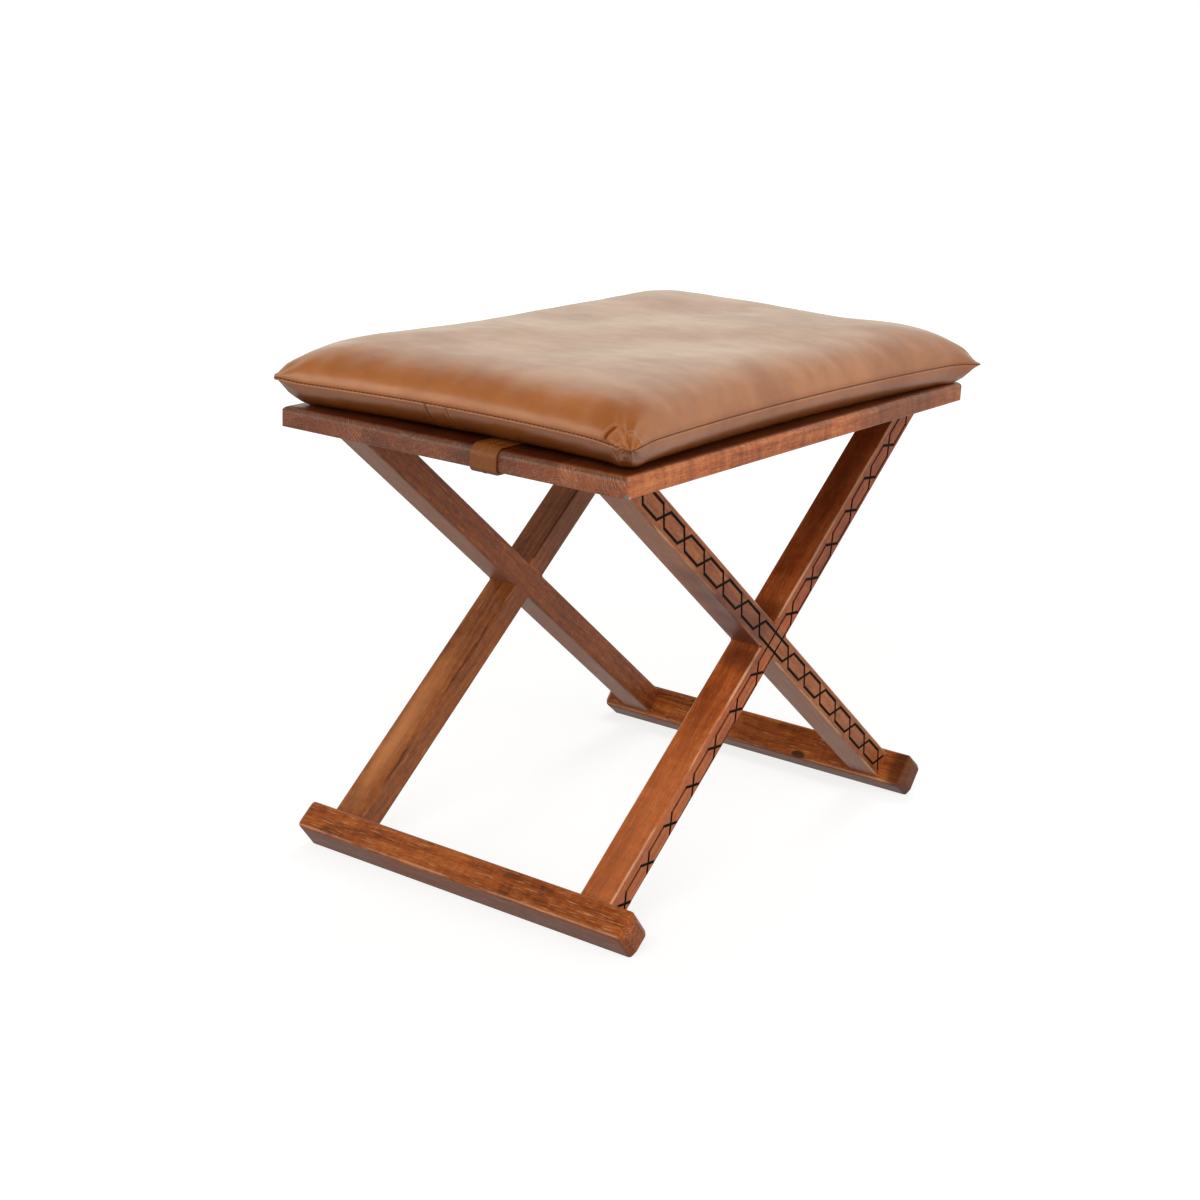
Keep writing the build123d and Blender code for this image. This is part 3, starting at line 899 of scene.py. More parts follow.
@dataclass
class CrossedLegs:
    """The two carved X frames: each leg is one bar, halved into its partner.

    The streaks and smoke are where the photographed stool is darker or paler, from handling
    and from its uneven stain. On the right front leg the spots are painted shade high under the seat,
    two darker patches beside the crossing, and painted light low down.
    """

    crossing: float = 229.21 * MM
    breadth: float = 35 * MM
    depth: float = 29 * MM
    lap: float = 19 * MM
    tones: dict[tuple[str, Lean], tuple[str, str, str]] = field(default_factory=lambda: {
        ("right", Lean.REAR): ("#5E2A14", "#94502A", "#AE683A"),
        ("right", Lean.FRONT): ("#64280E", "#A04C1F", "#C66C36"),
        ("left", Lean.REAR): ("#4C200E", "#84431F", "#A05A30"),
        ("left", Lean.FRONT): ("#50240E", "#8C4A1E", "#AA6430"),
    })
    # Share and colour of each frame's edges: on the right a pale line, partly rubbed stain and partly a
    # painted highlight; on the left darker edges
    edges: dict[str, tuple[float, str]] = field(default_factory=lambda: {
        "right": (0.6, "#DDB594"),
        "left": (0.8, "#43200F"),
    })
    # Right front leg: two darker patches beside the crossing, painted shade high under the seat, painted
    # light near the foot
    marks_and_painted_light: tuple[Spot, ...] = (
        Spot((0.150, 0.004, 0.262), (0.035, 0.024, 0.022), "#361006", 0.75, 0.1),
        Spot((0.150, -0.036, 0.219), (0.035, 0.022, 0.020), "#3F1508", 0.65, 0.1),
        Spot((0.150, 0.140, 0.352), (0.040, 0.220, 0.175), "#431608", 0.75, 0.0),
        Spot((0.150, -0.190, 0.095), (0.040, 0.200, 0.160), "#CC7A48", 0.35, 0.0),
    )
    streaks: tuple[Spot, ...] = (
        Spot((-0.153, -0.180, 0.104), (0.018, 0.150, 0.122), "#CC8450", 0.60, 0.0),
        Spot((-0.121, -0.120, 0.152), (0.011, 0.100, 0.080), "#50281A", 0.55, 0.2),
        Spot((-0.125, 0.060, 0.292), (0.022, 0.090, 0.075), "#4A2416", 0.55, 0.2),
    )
    smoke: tuple[Spot, ...] = (
        Spot((0.150, -0.028, 0.250), (0.050, 0.050, 0.042), "#4A1810", 0.85, 0.1),
        Spot((0.158, -0.071, 0.268), (0.034, 0.036, 0.030), "#501E18", 0.80, 0.0),
        Spot((0.158, -0.103, 0.293), (0.034, 0.036, 0.030), "#501E18", 0.80, 0.0),
        Spot((0.158, -0.136, 0.319), (0.034, 0.036, 0.030), "#5A261C", 0.65, 0.0),
    )

    def lie(self, side: str, lean: Lean) -> GrainLie:
        """Grain of one leg: down the leg, with its upper edge up."""
        low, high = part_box("right_rear_leg")
        x = (low.x + high.x) / 2 * (1 if side == "right" else -1)
        along = (0, lean.value * math.cos(LEG_SLOPE), -math.sin(LEG_SLOPE))
        up = (0, lean.value * math.sin(LEG_SLOPE), math.cos(LEG_SLOPE))
        return GrainLie((x, 0, self.crossing), along, up, self.breadth / 2, self.depth / 2)

    def build(self) -> None:
        """Dress the four legs; the front ones carry the pattern lower, with finer straight lines."""
        marks = {
            "right_front_leg": self.marks_and_painted_light,
            "right_rear_leg": self.smoke,
            "left_front_leg": self.streaks,
        }
        carvings = {Lean.REAR: Carving(), Lean.FRONT: Carving(drop=2.7 * MM, drift=0.008, fade=0.5)}
        for number, ((side, lean), (dark, middle, light)) in enumerate(self.tones.items()):
            name = f"{side}_{lean.name.lower()}_leg"
            edge_tint, edge_colour = self.edges[side]
            finish = Hardwood(
                f"sheesham_{name}", self.lie(side, lean), dark=dark, middle=middle, light=light,
                pith=(0.05 - 0.03 * number, -0.07), ring_spacing=6.5 * MM, figure_weight=0.3,
                mottle_weight=0.65, edge_tint=edge_tint, edge_colour=edge_colour, lap=self.lap,
                # Painted sheen of the floor's reflection on the rear legs' undersides
                under_painted_light=0.35 if lean is Lean.REAR else 0.0, under_painted_colour="#A87C66",
                carving=carvings[lean], spots=marks.get(name, ()), seed=11.3 + 5.1 * number,
            )
            dress(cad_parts[name], finish.make())
        log.info("crossed legs: %d legs", len(self.tones))


@dataclass
class FootBars:
    """The two bars that the legs stand in; the rear one has a knot on the face towards the legs, and
    painted shade on its right end.
    """

    thickness: float = 30 * MM
    width: float = 37.5 * MM
    knot: Spot = Spot((0.068, 0.237, 0.0193), (0.0095, 0.006, 0.0045), "#2B110A", 0.85)
    # Painted shade on the rear bar's right end
    shaded_end: Spot = Spot((0.198, 0.262, 0.020), (0.030, 0.040, 0.040), "#44200F", 0.75, 0.7)

    def build(self) -> None:
        """Dress both bars."""
        marks = {Lean.FRONT: (), Lean.REAR: (self.knot, self.shaded_end)}
        for lean, spots in marks.items():
            name = f"{lean.name.lower()}_foot_bar"
            low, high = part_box(name)
            centre = (low + high) / 2
            up = (0, lean.value * math.sin(LEG_SLOPE), math.cos(LEG_SLOPE))
            place = (0, centre.y, centre.z)
            finish = Hardwood(
                f"sheesham_{name}", GrainLie(place, (1, 0, 0), up, self.thickness / 2, self.width / 2),
                dark="#56240C", middle="#964A1C", light="#BC682E", pith=(0.02, -0.04),
                # Painted shade on the bars' undersides
                ring_spacing=8 * MM, fleck_strength=0.55, streak_weight=0.6, under_painted_light=0.6,
                gloss=1.38, spots=spots, seed=31.0 + lean.value,
            )
            dress(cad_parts[name], finish.make())
        log.info("foot bars: %d bars", len(marks))


@dataclass
class Hardware:
    """Dowels, screws, washers and press studs: CAD pieces with their own finishes."""

    wooden: tuple[str, ...] = ("plank_dowels", "seat_dowels", "foot_dowels")
    steel: tuple[str, ...] = ("strap_screws", "strap_washers")
    brass: tuple[str, ...] = ("screw_studs", "snap_sockets")

    def build(self) -> None:
        """Dress the small CAD pieces."""
        finishes = (
            (self.wooden, Dowel()),
            (self.steel, TurnedMetal("zinc_plated_steel", "#B9BCC0", "#8D9094", 0.28)),
            (self.brass, TurnedMetal("polished_brass", "#C9A35A", "#8F7038", 0.25)),
        )
        for names, finish in finishes:
            material = finish.make()
            for name in names:
                dress(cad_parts[name], material)
        log.info("hardware: %d groups", sum(len(names) for names, _ in finishes))


@dataclass
class Strap:
    """Folded leather strap round one short end of the seat, sewn along its butted middle."""

    end: End
    hide: bpy.types.Material
    thread: bpy.types.Material
    width: float = 29 * MM
    thickness: float = 2.8 * MM
    reach: float = 55 * MM
    standoff: float = 1.2 * MM
    top_round: float = 9.1 * MM
    low_round: float = 4.1 * MM
    edge_round: float = 1.2 * MM
    row_offset: float = 4.3 * MM
    row_width: float = 0.8 * MM
    ridge_width: float = 1.1 * MM
    relief: float = 0.3 * MM
    seam_shade: float = 0.9 * MM
    stitch_pitch: float = 4.7 * MM
    stitch_start: float = 2.5 * MM
    stitch_length: float = 3.2 * MM
    stitch_radius: float = 0.42 * MM
    stitch_sink: float = 0.22 * MM

    def centreline(self) -> np.ndarray:
        """Middle of the leather's thickness: along the seat's top, round its edge and back below.

        Two straight runs and a short drop, joined by a wide and a narrow quarter circle, in Y and Z.
        """
        board_low, board_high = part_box("seat_plank_mid_right")
        half = self.thickness / 2
        front = board_low.y - self.standoff - half
        top, low = board_high.z + half, board_low.z - half
        tail = board_low.y + self.reach
        quarter = np.linspace(0, math.pi / 2, 15)
        sine, cosine = np.sin(quarter), np.cos(quarter)
        big, small = self.top_round, self.low_round
        upper = np.stack([front + big - big * sine, top - big + big * cosine], 1)
        lower = np.stack([front + small - small * cosine, low + small - small * sine], 1)
        run_top = np.stack([np.linspace(tail, front + big, 24)[:-1], np.full(23, top)], 1)
        drop = np.stack([np.full(3, front), np.linspace(top - big, low + small, 5)[1:-1]], 1)
        run_low = np.stack([np.linspace(front + small, tail, 24)[1:], np.full(23, low)], 1)
        return np.vstack([run_top, upper, drop, lower, run_low])

    def section(self) -> np.ndarray:
        """Outline across the strap: rounded edges, a low ridge between two sunk stitch rows.

        The outer face's height is the half thickness, less two bell-shaped dips, plus a narrow bell.
        """
        half_width, half = self.width / 2, self.thickness / 2
        turn = np.linspace(-math.pi / 2, math.pi / 2, 7)
        edge = self.edge_round
        right = np.stack([half_width - edge + edge * np.cos(turn), half * np.sin(turn)], 1)
        across = np.linspace(half_width - edge, edge - half_width, 61)[1:-1]
        dips = sum(bell(across - row, self.row_width) for row in (-self.row_offset, self.row_offset))
        outer = np.stack([across, half + self.relief * (bell(across, self.ridge_width) - dips)], 1)
        left = right[::-1] * (-1, 1)
        inner_across = np.linspace(edge - half_width, half_width - edge, 12)[1:-1]
        inner = np.stack([inner_across, np.full(10, -half)], 1)
        return np.vstack([right, outer, left, inner])

    def build(self) -> None:
        """Carry the section along the centreline, sew it, and let it stand for the CAD strap."""
        line, shape = self.centreline(), self.section()
        way = unit(np.gradient(line, axis=0))
        outward = np.stack([way[:, 1], -way[:, 0]], 1)
        low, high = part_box("front_strap")
        middle = (low.x + high.x) / 2
        mirror = -self.end.value
        yz = line[:, None, :] + shape[None, :, 1:2] * outward[:, None, :]
        x = np.broadcast_to(middle + shape[:, 0], yz.shape[:2])
        points = np.stack([x, yz[..., 0] * mirror, yz[..., 1]], -1)
        index = np.arange(points.shape[0] * points.shape[1]).reshape(points.shape[:2])
        around = np.concatenate([index, index[:, :1]], axis=1)
        faces = grid_quads(around).tolist() + [index[0].tolist(), index[-1][::-1].tolist()]
        if mirror < 0:
            faces = [face[::-1] for face in faces]
        name = f"{self.end.name.lower()}_strap"
        strap = make_piece(f"{name}_leather", points, faces, STOOL)
        wide = np.broadcast_to(shape[:, 0], yz.shape[:2])
        outer = np.broadcast_to(shape[:, 1] > 0.5 * MM, yz.shape[:2])
        # The seam attribute places painted shade along the two sunk stitch rows
        near = np.abs(np.abs(wide) - self.row_offset) + self.seam_shade
        set_attribute(strap, "seam", np.where(outer, near, 1.0))
        dress(strap, self.hide)
        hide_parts(name)

        runs = []
        skin = line + outward * (self.thickness / 2 - self.stitch_sink)
        normal = np.stack([np.zeros(len(skin)), outward[:, 0] * mirror, outward[:, 1]], 1)
        for row in (-self.row_offset, self.row_offset):
            path = np.stack([np.full(len(skin), middle + row), skin[:, 0] * mirror, skin[:, 1]], 1)
            places, ways = resample(path, self.stitch_pitch, self.stitch_start)
            nearest = np.argmin(np.linalg.norm(places[:, None] - path[None], axis=2), axis=1)
            runs.append((places, ways, normal[nearest]))
        places, ways, normals = (np.vstack(part) for part in zip(*runs))
        rods = stitches(places, ways, normals, self.stitch_length, self.stitch_radius)
        sewing = make_piece(f"{name}_stitches", *rods, STOOL)
        dress(sewing, self.thread)
        log.info("%s: %d stitches", name, len(places))


@dataclass(frozen=True)
class Tip:
    """One corner of the cushion: the signs of its X and Y, how it is pulled, and its flat reach.

    Beyond the flat reach it fills out over its growth. A blunt tip is thick up to its seam.
    """

    side: int
    end: int
    pull: tuple[float, float, float]
    flat: float
    growth: float = 9 * MM
    blunt: float = 0.0
    gather: float = 0.6 * MM
    ruck: float = 0.0


@dataclass
class Cushion:
    """Loose leather cushion: two panels sewn edge to edge and turned, over a wadding insert.

    Its plan is a rectangle whose sides pull in between the corners. The upper panel rises steeply
    from the seam and flattens to a low crown, the lower one rolls under and lies on the board.
    """

    hide: bpy.types.Material
    thread: bpy.types.Material
    half_x: float = 203.4 * MM
    half_y: float = 309.0 * MM
    draw_x: float = 12.0 * MM
    draw_y: float = 10.0 * MM
    corner_levels: tuple[float, float, float, float] = (471.9 * MM, 475.0 * MM, 469.1 * MM, 470.5 * MM)
    side_sag: tuple[float, float] = (2.7 * MM, 1.6 * MM)
    corners: tuple[Tip, ...] = (
        Tip(-1, -1, (2 * MM, 1 * MM, 2.5 * MM), 0, growth=17 * MM, blunt=1.6 * MM),
        Tip(1, -1, (0, 0, -3.5 * MM), 3 * MM, gather=1.1 * MM, ruck=1.0 * MM),
        Tip(1, 1, (5 * MM, 9 * MM, -3.5 * MM), 5 * MM),
        Tip(-1, 1, (-1 * MM, 1 * MM, -2 * MM), 5 * MM),
    )
    tip_fill: float = 0.35
    tip_spread: float = 26 * MM
    ruck_place: float = 13 * MM
    ruck_width: float = 7 * MM
    ruck_wave: float = 0.95 * MM
    crease_reach: float = 12 * MM
    pucker_reach: float = 9 * MM
    pucker_height: float = 0.22 * MM
    edge_thickness: float = 1.6 * MM
    crown: float = 37.2 * MM
    crown_powers: tuple[float, float] = (9.0, 12.0)
    crown_round: float = 0.55
    roll_reaches: tuple[float, float] = (30 * MM, 36 * MM)
    roll_powers: tuple[float, float] = (2.6, 2.0)
    roll_rounds: tuple[float, float] = (0.55, 0.72)
    drop: float = 26.5 * MM
    tip_round: float = 7.0 * MM
    rest_gap: float = 0.3 * MM
    seam_depth: float = 0.7 * MM
    seam_width: float = 0.9 * MM
    stitch_pitch: float = 4.8 * MM
    stitch_lengths: tuple[float, float] = (3.3 * MM, 2.0 * MM)
    stitch_radii: tuple[float, float] = (0.42 * MM, 0.40 * MM)
    stitch_sink: float = 0.55 * MM
    tuck_x: float = 174.5 * MM
    tuck_slant: float = 0.7
    tuck_depth: float = 4.8 * MM
    tuck_width: float = 1.1 * MM
    tuck_reach: float = 5.0 * MM
    ridge_ends: tuple[tuple[float, float], tuple[float, float]] = (
        (203 * MM, -293 * MM), (190 * MM, -299 * MM),
    )
    ridge_width: float = 1.6 * MM
    ridge_height: float = 1.3 * MM
    join_places: tuple[float, float] = (-24 * MM, -0.5 * MM)
    join_depth: float = 1.4 * MM
    join_lip: float = 0.35 * MM
    join_width: float = 0.9 * MM
    join_row: float = 1.8 * MM
    cell: float = 4.6 * MM
    cloth_cell: float = 5.5 * MM
    cloth_steps: int = 20
    broad_reach: float = 24 * MM
    pressure: float = 4.0
    slack: float = 0.006
    cap: float = 5.0 * MM
    wave_share: float = 0.12
    socket_room: float = 6.3 * MM

    def rulings(self, half: float, extra: list[float]) -> np.ndarray:
        """Grid lines of one axis from -1 to 1: close together at the seam and at small forms."""
        edge = np.array([0, 0.02, 0.1, 0.3, 0.7, 1.3, 2.2, 3.4, 5, 7, 9.5, 12.5, 16]) * MM
        inner = half - edge[-1]
        middle = np.linspace(-inner, inner, int(2 * inner / self.cell) + 1)
        lines = np.concatenate([edge - half, middle, half - edge, extra])
        lines = np.unique(np.round(lines, 7))
        keep = np.concatenate([[True], np.diff(lines) > 0.015 * MM])
        return lines[keep] / half

    def plan(self, u: np.ndarray, v: np.ndarray) -> tuple[np.ndarray, np.ndarray]:
        """Plan of the seam and of every line inside it.

        Each side bows inwards as one minus the square of the way along it, and the corner squares
        are mapped on quarter discs, which rounds the tips.
        """
        x = u * (self.half_x - self.draw_x * (1 - v ** 2))
        y = v * (self.half_y - self.draw_y * (1 - u ** 2))
        r = self.tip_round
        a = np.clip((np.abs(x) - (self.half_x - r)) / r, 0, None)
        b = np.clip((np.abs(y) - (self.half_y - r)) / r, 0, None)
        both = (a > 0) & (b > 0)
        pull = np.where(both, np.maximum(a, b) / np.maximum(np.hypot(a, b), 1e-9), 1.0)
        x = np.where(both, np.sign(x) * (self.half_x - r + a * pull * r), x)
        y = np.where(both, np.sign(y) * (self.half_y - r + b * pull * r), y)
        return x, y

    def seam_level(self, u: np.ndarray, v: np.ndarray) -> np.ndarray:
        """Height of the seam: straight between the four corners, and lifted a little mid-side."""
        low_left, low_right, high_right, high_left = self.corner_levels
        a, b = (u + 1) / 2, (v + 1) / 2
        level = ((1 - a) * (1 - b) * low_left + a * (1 - b) * low_right
                 + a * b * high_right + (1 - a) * b * high_left)
        return level + self.side_sag[0] * (1 - u ** 2) * v ** 2 + self.side_sag[1] * (1 - v ** 2) * u ** 2

    def tips(self, u: np.ndarray, v: np.ndarray) -> np.ndarray:
        """Shift of each pointed corner, fading with distance: tips droop, lift or reach out."""
        total = np.zeros(u.shape + (3,))
        for tip in self.corners:
            away, angle = self.from_tip(tip, u, v)
            total += bell(away, self.tip_spread)[..., None] * np.array(tip.pull)
            near = bell(away - self.ruck_place, self.ruck_width) * np.cos(angle) ** 4
            total[..., 2] += tip.ruck * np.sin(away / self.ruck_wave) * near
        return total

    def from_tip(self, tip: Tip, u: np.ndarray, v: np.ndarray) -> tuple[np.ndarray, np.ndarray]:
        """Distance of each point from a corner's tip, and the angle round it from the short side."""
        from_x, from_y = (1 - tip.side * u) * self.half_x, (1 - tip.end * v) * self.half_y
        return np.hypot(from_x, from_y), np.arctan2(from_y, from_x)

    def fullness(self, u: np.ndarray, v: np.ndarray) -> np.ndarray:
        """Share of the swelling that is left: the tips are thin, and one is a flat ear.

        A smooth step of the distance from each tip, from the end of its flat reach onwards.
        """
        share = np.ones_like(u)
        for tip in self.corners:
            away, _ = self.from_tip(tip, u, v)
            step = np.clip((away - tip.flat) / (tip.flat + tip.growth), 0, 1)
            share *= self.tip_fill + (1 - self.tip_fill) * step ** 2 * (3 - 2 * step)
        return share

    def creases(self, u: np.ndarray, v: np.ndarray) -> np.ndarray:
        """Fine creases that run out of each tip: waves round it that fade with the distance."""
        total = np.zeros_like(u)
        for number, tip in enumerate(self.corners):
            away, angle = self.from_tip(tip, u, v)
            wave = np.sin(11 * angle + 1.3 * number + 1.2 * np.sin(away / (9 * MM)))
            total += tip.gather * wave * hump(away, self.crease_reach)
        return total

    def swell(self, u: np.ndarray, v: np.ndarray) -> np.ndarray:
        """Uneven stuffing: a few broad waves over the crown, none at the seam."""
        x, y = u * self.half_x / MM, v * self.half_y / MM
        wave = (1.3 * np.sin(x / 61 + 0.8) * np.cos(y / 83 - 0.5)
                + 0.9 * np.sin(x / 37 - y / 52 + 2.1)
                + 0.6 * np.cos(x / 24 + y / 43 + 0.4))
        return wave * MM * (1 - np.abs(u) ** 6) * (1 - np.abs(v) ** 8)

    def puckers(self, u: np.ndarray, v: np.ndarray) -> np.ndarray:
        """Small gathers square to the seam: uneven waves along it that fade within some 20 mm."""
        x, y = u * self.half_x / MM, v * self.half_y / MM
        along_y = np.sin(y / 6.1 + 1.5 * np.sin(y / 31)) * (0.6 + 0.4 * np.sin(y / 47 + u))
        along_x = np.sin(x / 5.7 + 1.7 * np.sin(x / 27)) * (0.6 + 0.4 * np.sin(x / 41 + v))
        near_x = hump((1 - np.abs(u)) * self.half_x, self.pucker_reach)
        near_y = hump((1 - np.abs(v)) * self.half_y, self.pucker_reach)
        return self.pucker_height * (along_y * near_x + along_x * near_y)

    def tuck(self, x: np.ndarray, y: np.ndarray, rise: np.ndarray) -> np.ndarray:
        """Pinched fold in the upper panel near the front right corner: a sharp dip between two lips."""
        away, fade = self.from_tuck(x, y)
        relief = 0.4 * self.lips(away) - bell(away)
        return self.tuck_depth * relief * fade * np.clip(rise / (2 * MM), 0, 1)

    def lips(self, away: np.ndarray) -> np.ndarray:
        """Raised leather on both sides of a sunk line, from the distance in the line's widths."""
        return bell(np.abs(away) - 2.6, 1.3)

    def from_tuck(self, x: np.ndarray, y: np.ndarray) -> tuple[np.ndarray, np.ndarray]:
        """Distance from the pinched fold's line in its widths, and the fold's strength there."""
        away = (x - self.tuck_x - self.tuck_slant * (y + self.half_y)) / self.tuck_width
        fade = np.exp(-((y + self.half_y - 5.5 * MM) / self.tuck_reach) ** 4) * (y < 0)
        return away, fade

    def ridge(self, x: np.ndarray, y: np.ndarray) -> np.ndarray:
        """Soft fold beside the pinched one: a bell-shaped ridge that runs up from the long seam."""
        first, last = np.array(self.ridge_ends)
        length = np.linalg.norm(last - first)
        way = (last - first) / length
        from_x, from_y = x - (first[0] + last[0]) / 2, y - (first[1] + last[1]) / 2
        along, away = from_x * way[0] + from_y * way[1], from_y * way[0] - from_x * way[1]
        return self.ridge_height * np.exp(-(away / self.ridge_width) ** 2 - (along / (0.6 * length)) ** 4)

    def panel(self, side: Panel, u: np.ndarray, v: np.ndarray) -> tuple[np.ndarray, np.ndarray]:
        """One leather panel over the whole plan.

        Args:
            side: upper or lower panel.
            u: share of the way across, from -1 to 1.
            v: share of the way along, from -1 to 1.

        Returns:
            Points, and each point's height above or below its seam.
        """
        x, y = self.plan(u, v)
        seam = self.seam_level(u, v)
        if side is Panel.UPPER:
            profile = (1 - np.abs(u) ** self.crown_powers[0]) * (1 - np.abs(v) ** self.crown_powers[1])
            rise = self.crown * np.clip(profile, 0, 1) ** self.crown_round
        else:
            rise = -self.drop
            rolls = zip((u, v), (self.half_x, self.half_y),
                        self.roll_reaches, self.roll_powers, self.roll_rounds)
            for share, half, reach, power, bulge in rolls:
                way = np.clip((1 - np.abs(share)) * half / reach, 0, 1)
                rise = rise * (1 - (1 - way) ** power) ** bulge
        rise = rise * self.fullness(u, v)
        from_edge = np.minimum((1 - np.abs(u)) * self.half_x, (1 - np.abs(v)) * self.half_y)
        blunt = sum(tip.blunt * bell(self.from_tip(tip, u, v)[0], 10 * MM) for tip in self.corners)
        hide = (self.edge_thickness + blunt) * (1 - np.exp(-from_edge / (0.9 * MM)))
        rise = side.value * np.maximum(np.abs(rise), hide)
        points = np.stack([x, y, seam + rise], -1)
        return points, rise

    def outward(self, points: np.ndarray) -> np.ndarray:
        """Normals of a grid surface, from the cross product of its two gradients."""
        return unit(np.cross(np.gradient(points, axis=1), np.gradient(points, axis=0)))

    def shaped(self, side: Panel, u: np.ndarray, v: np.ndarray) -> tuple[np.ndarray, np.ndarray]:
        """A panel with its waves, gathers, tuck and seam groove.

        Args:
            side: upper or lower panel.
            u: share of the way across.
            v: share of the way along.

        Returns:
            Points and heights from the seam.
        """
        points, rise = self.panel(side, u, v)
        height = np.abs(rise)
        normal = self.outward(points) * side.value
        if side is Panel.UPPER:
            lift = self.swell(u, v) + self.puckers(u, v) + self.creases(u, v)
            lift = lift + self.tuck(points[..., 0], points[..., 1], height)
            lift = lift + self.ridge(points[..., 0], points[..., 1])
        else:
            lift = 0.7 * self.puckers(u, v) + 0.6 * self.creases(u, v)
            front = (v < 0) * (height > 1 * MM)
            for join in self.join_places:
                away = (points[..., 0] - join) / self.join_width
                lift = lift + (self.join_lip * self.lips(away) - self.join_depth * bell(away)) * front
        lift = lift * np.clip(height / (3 * MM), 0, 1)
        points = points + normal * lift[..., None]

        # The seam is a groove: the leather turns in there, more so on the seam line itself
        away = np.stack([points[..., 0] / self.half_x, points[..., 1] / self.half_y], -1)
        away = unit(np.sign(away) * np.abs(away) ** 8)
        groove = self.seam_depth * bell(height, self.seam_width)
        if side is Panel.LOWER:
            groove = groove - 0.45 * MM * bell(height - 1.9 * MM, 0.9 * MM)
        points[..., :2] -= away * groove[..., None]
        points += self.tips(u, v)
        return points, height

    def joined(self, upper: np.ndarray, lower: np.ndarray) -> tuple[np.ndarray, list, np.ndarray]:
        """One closed mesh of two grids that share their border.

        Args:
            upper: points of the upper panel.
            lower: points of the lower panel; its border is the upper one's.

        Returns:
            Points, faces, and the numbers of the points on the border.
        """
        rows, columns = upper.shape[:2]
        upper_index = np.arange(rows * columns).reshape(rows, columns)
        lower_index = upper_index.copy()
        inner = (rows - 2) * (columns - 2)
        lower_index[1:-1, 1:-1] = rows * columns + np.arange(inner).reshape(rows - 2, columns - 2)
        faces = grid_quads(upper_index).tolist() + grid_quads(lower_index)[:, ::-1].tolist()
        points = np.concatenate([upper.reshape(-1, 3), lower[1:-1, 1:-1].reshape(-1, 3)])
        border = np.setdiff1d(upper_index, upper_index[1:-1, 1:-1])
        return points, faces, border

    def settle(self) -> tuple[np.ndarray, np.ndarray]:
        """Waves and gathers of the leather, from a cloth simulation of both panels.

        A coarse copy of the cushion is cloth, a little larger than its mesh and held along the seam.
        The padding presses it out from within. Its broad swelling is taken away again, since the
        copy starts full, and what is left are the waves.

        Returns:
            Shift of each point of the coarse grids of the upper and the lower panel.
        """
        u, v = np.meshgrid(*(np.linspace(-1, 1, int(2 * half / self.cloth_cell) + 1)
                             for half in (self.half_x, self.half_y)))
        upper, lower = self.panel(Panel.UPPER, u, v)[0], self.panel(Panel.LOWER, u, v)[0]
        points, faces, border = self.joined(upper, lower)
        piece = make_piece("cushion_cloth", points, faces, CUSHION)
        held = piece.vertex_groups.new(name="seam")
        held.add(border.tolist(), 1.0, "REPLACE")
        cloth = piece.modifiers.new("settle", "CLOTH")
        cloth.collision_settings.use_collision = False
        settings = cloth.settings
        settings.effector_weights.gravity = 0
        settings.vertex_group_mass = held.name
        settings.use_pressure = True
        settings.uniform_pressure_force = self.pressure
        settings.shrink_min = -self.slack
        settings.quality = 6
        settings.tension_stiffness = settings.compression_stiffness = 25
        settings.shear_stiffness = 10
        settings.bending_stiffness = 12
        for step in range(1, self.cloth_steps + 1):
            bpy.context.scene.frame_set(step)
        done = piece.evaluated_get(bpy.context.evaluated_depsgraph_get()).data
        end = np.empty(3 * len(points), np.float32)
        done.vertices.foreach_get("co", end)
        bpy.context.scene.frame_set(1)
        discard(piece)
        shift = end.reshape(-1, 3) - points
        size = np.linalg.norm(shift, axis=1, keepdims=True)
        log.info("cloth: moved %.1f mm on average, %.1f mm at most", size.mean() / MM, size.max() / MM)
        rows, columns = u.shape
        above = shift[:rows * columns].reshape(rows, columns, 3)
        below = above.copy()
        below[1:-1, 1:-1] = shift[rows * columns:].reshape(rows - 2, columns - 2, 3)
        return self.capped(above), self.capped(below)

    def capped(self, shift: np.ndarray) -> np.ndarray:
        """Shifts less their broad part, a wide running mean; capped, and calmed to a set share."""
        reach = int(self.broad_reach / self.cloth_cell)
        broad = shift
        for axis in (0, 0, 1, 1):
            broad = running_mean(broad, reach, axis)
        fine = shift - broad
        size = np.linalg.norm(fine, axis=-1, keepdims=True)
        log.info("waves: %.2f mm on average, %.2f mm at most", size.mean() / MM, size.max() / MM)
        return fine * self.wave_share * np.minimum(1, self.cap / np.maximum(size, 1e-9))

    def spread(self, coarse: np.ndarray, u: np.ndarray, v: np.ndarray) -> np.ndarray:
        """Coarse grid values read at finer places, with smooth cubic weights along each axis."""
        for axis, places in ((0, v[:, 0]), (1, u[0])):
            count = coarse.shape[axis]
            at = (places + 1) / 2 * (count - 1)
            start = np.clip(at.astype(int), 0, count - 2)
            t = at - start
            weights = (-0.5 * t + t ** 2 - 0.5 * t ** 3, 1 - 2.5 * t ** 2 + 1.5 * t ** 3,
                       0.5 * t + 2 * t ** 2 - 1.5 * t ** 3, -0.5 * t ** 2 + 0.5 * t ** 3)
            shape = (-1, 1, 1) if axis == 0 else (1, -1, 1)
            coarse = sum(weight.reshape(shape) * np.take(coarse, np.clip(start + step, 0, count - 1), axis)
                         for step, weight in zip((-1, 0, 1, 2), weights))
        return coarse

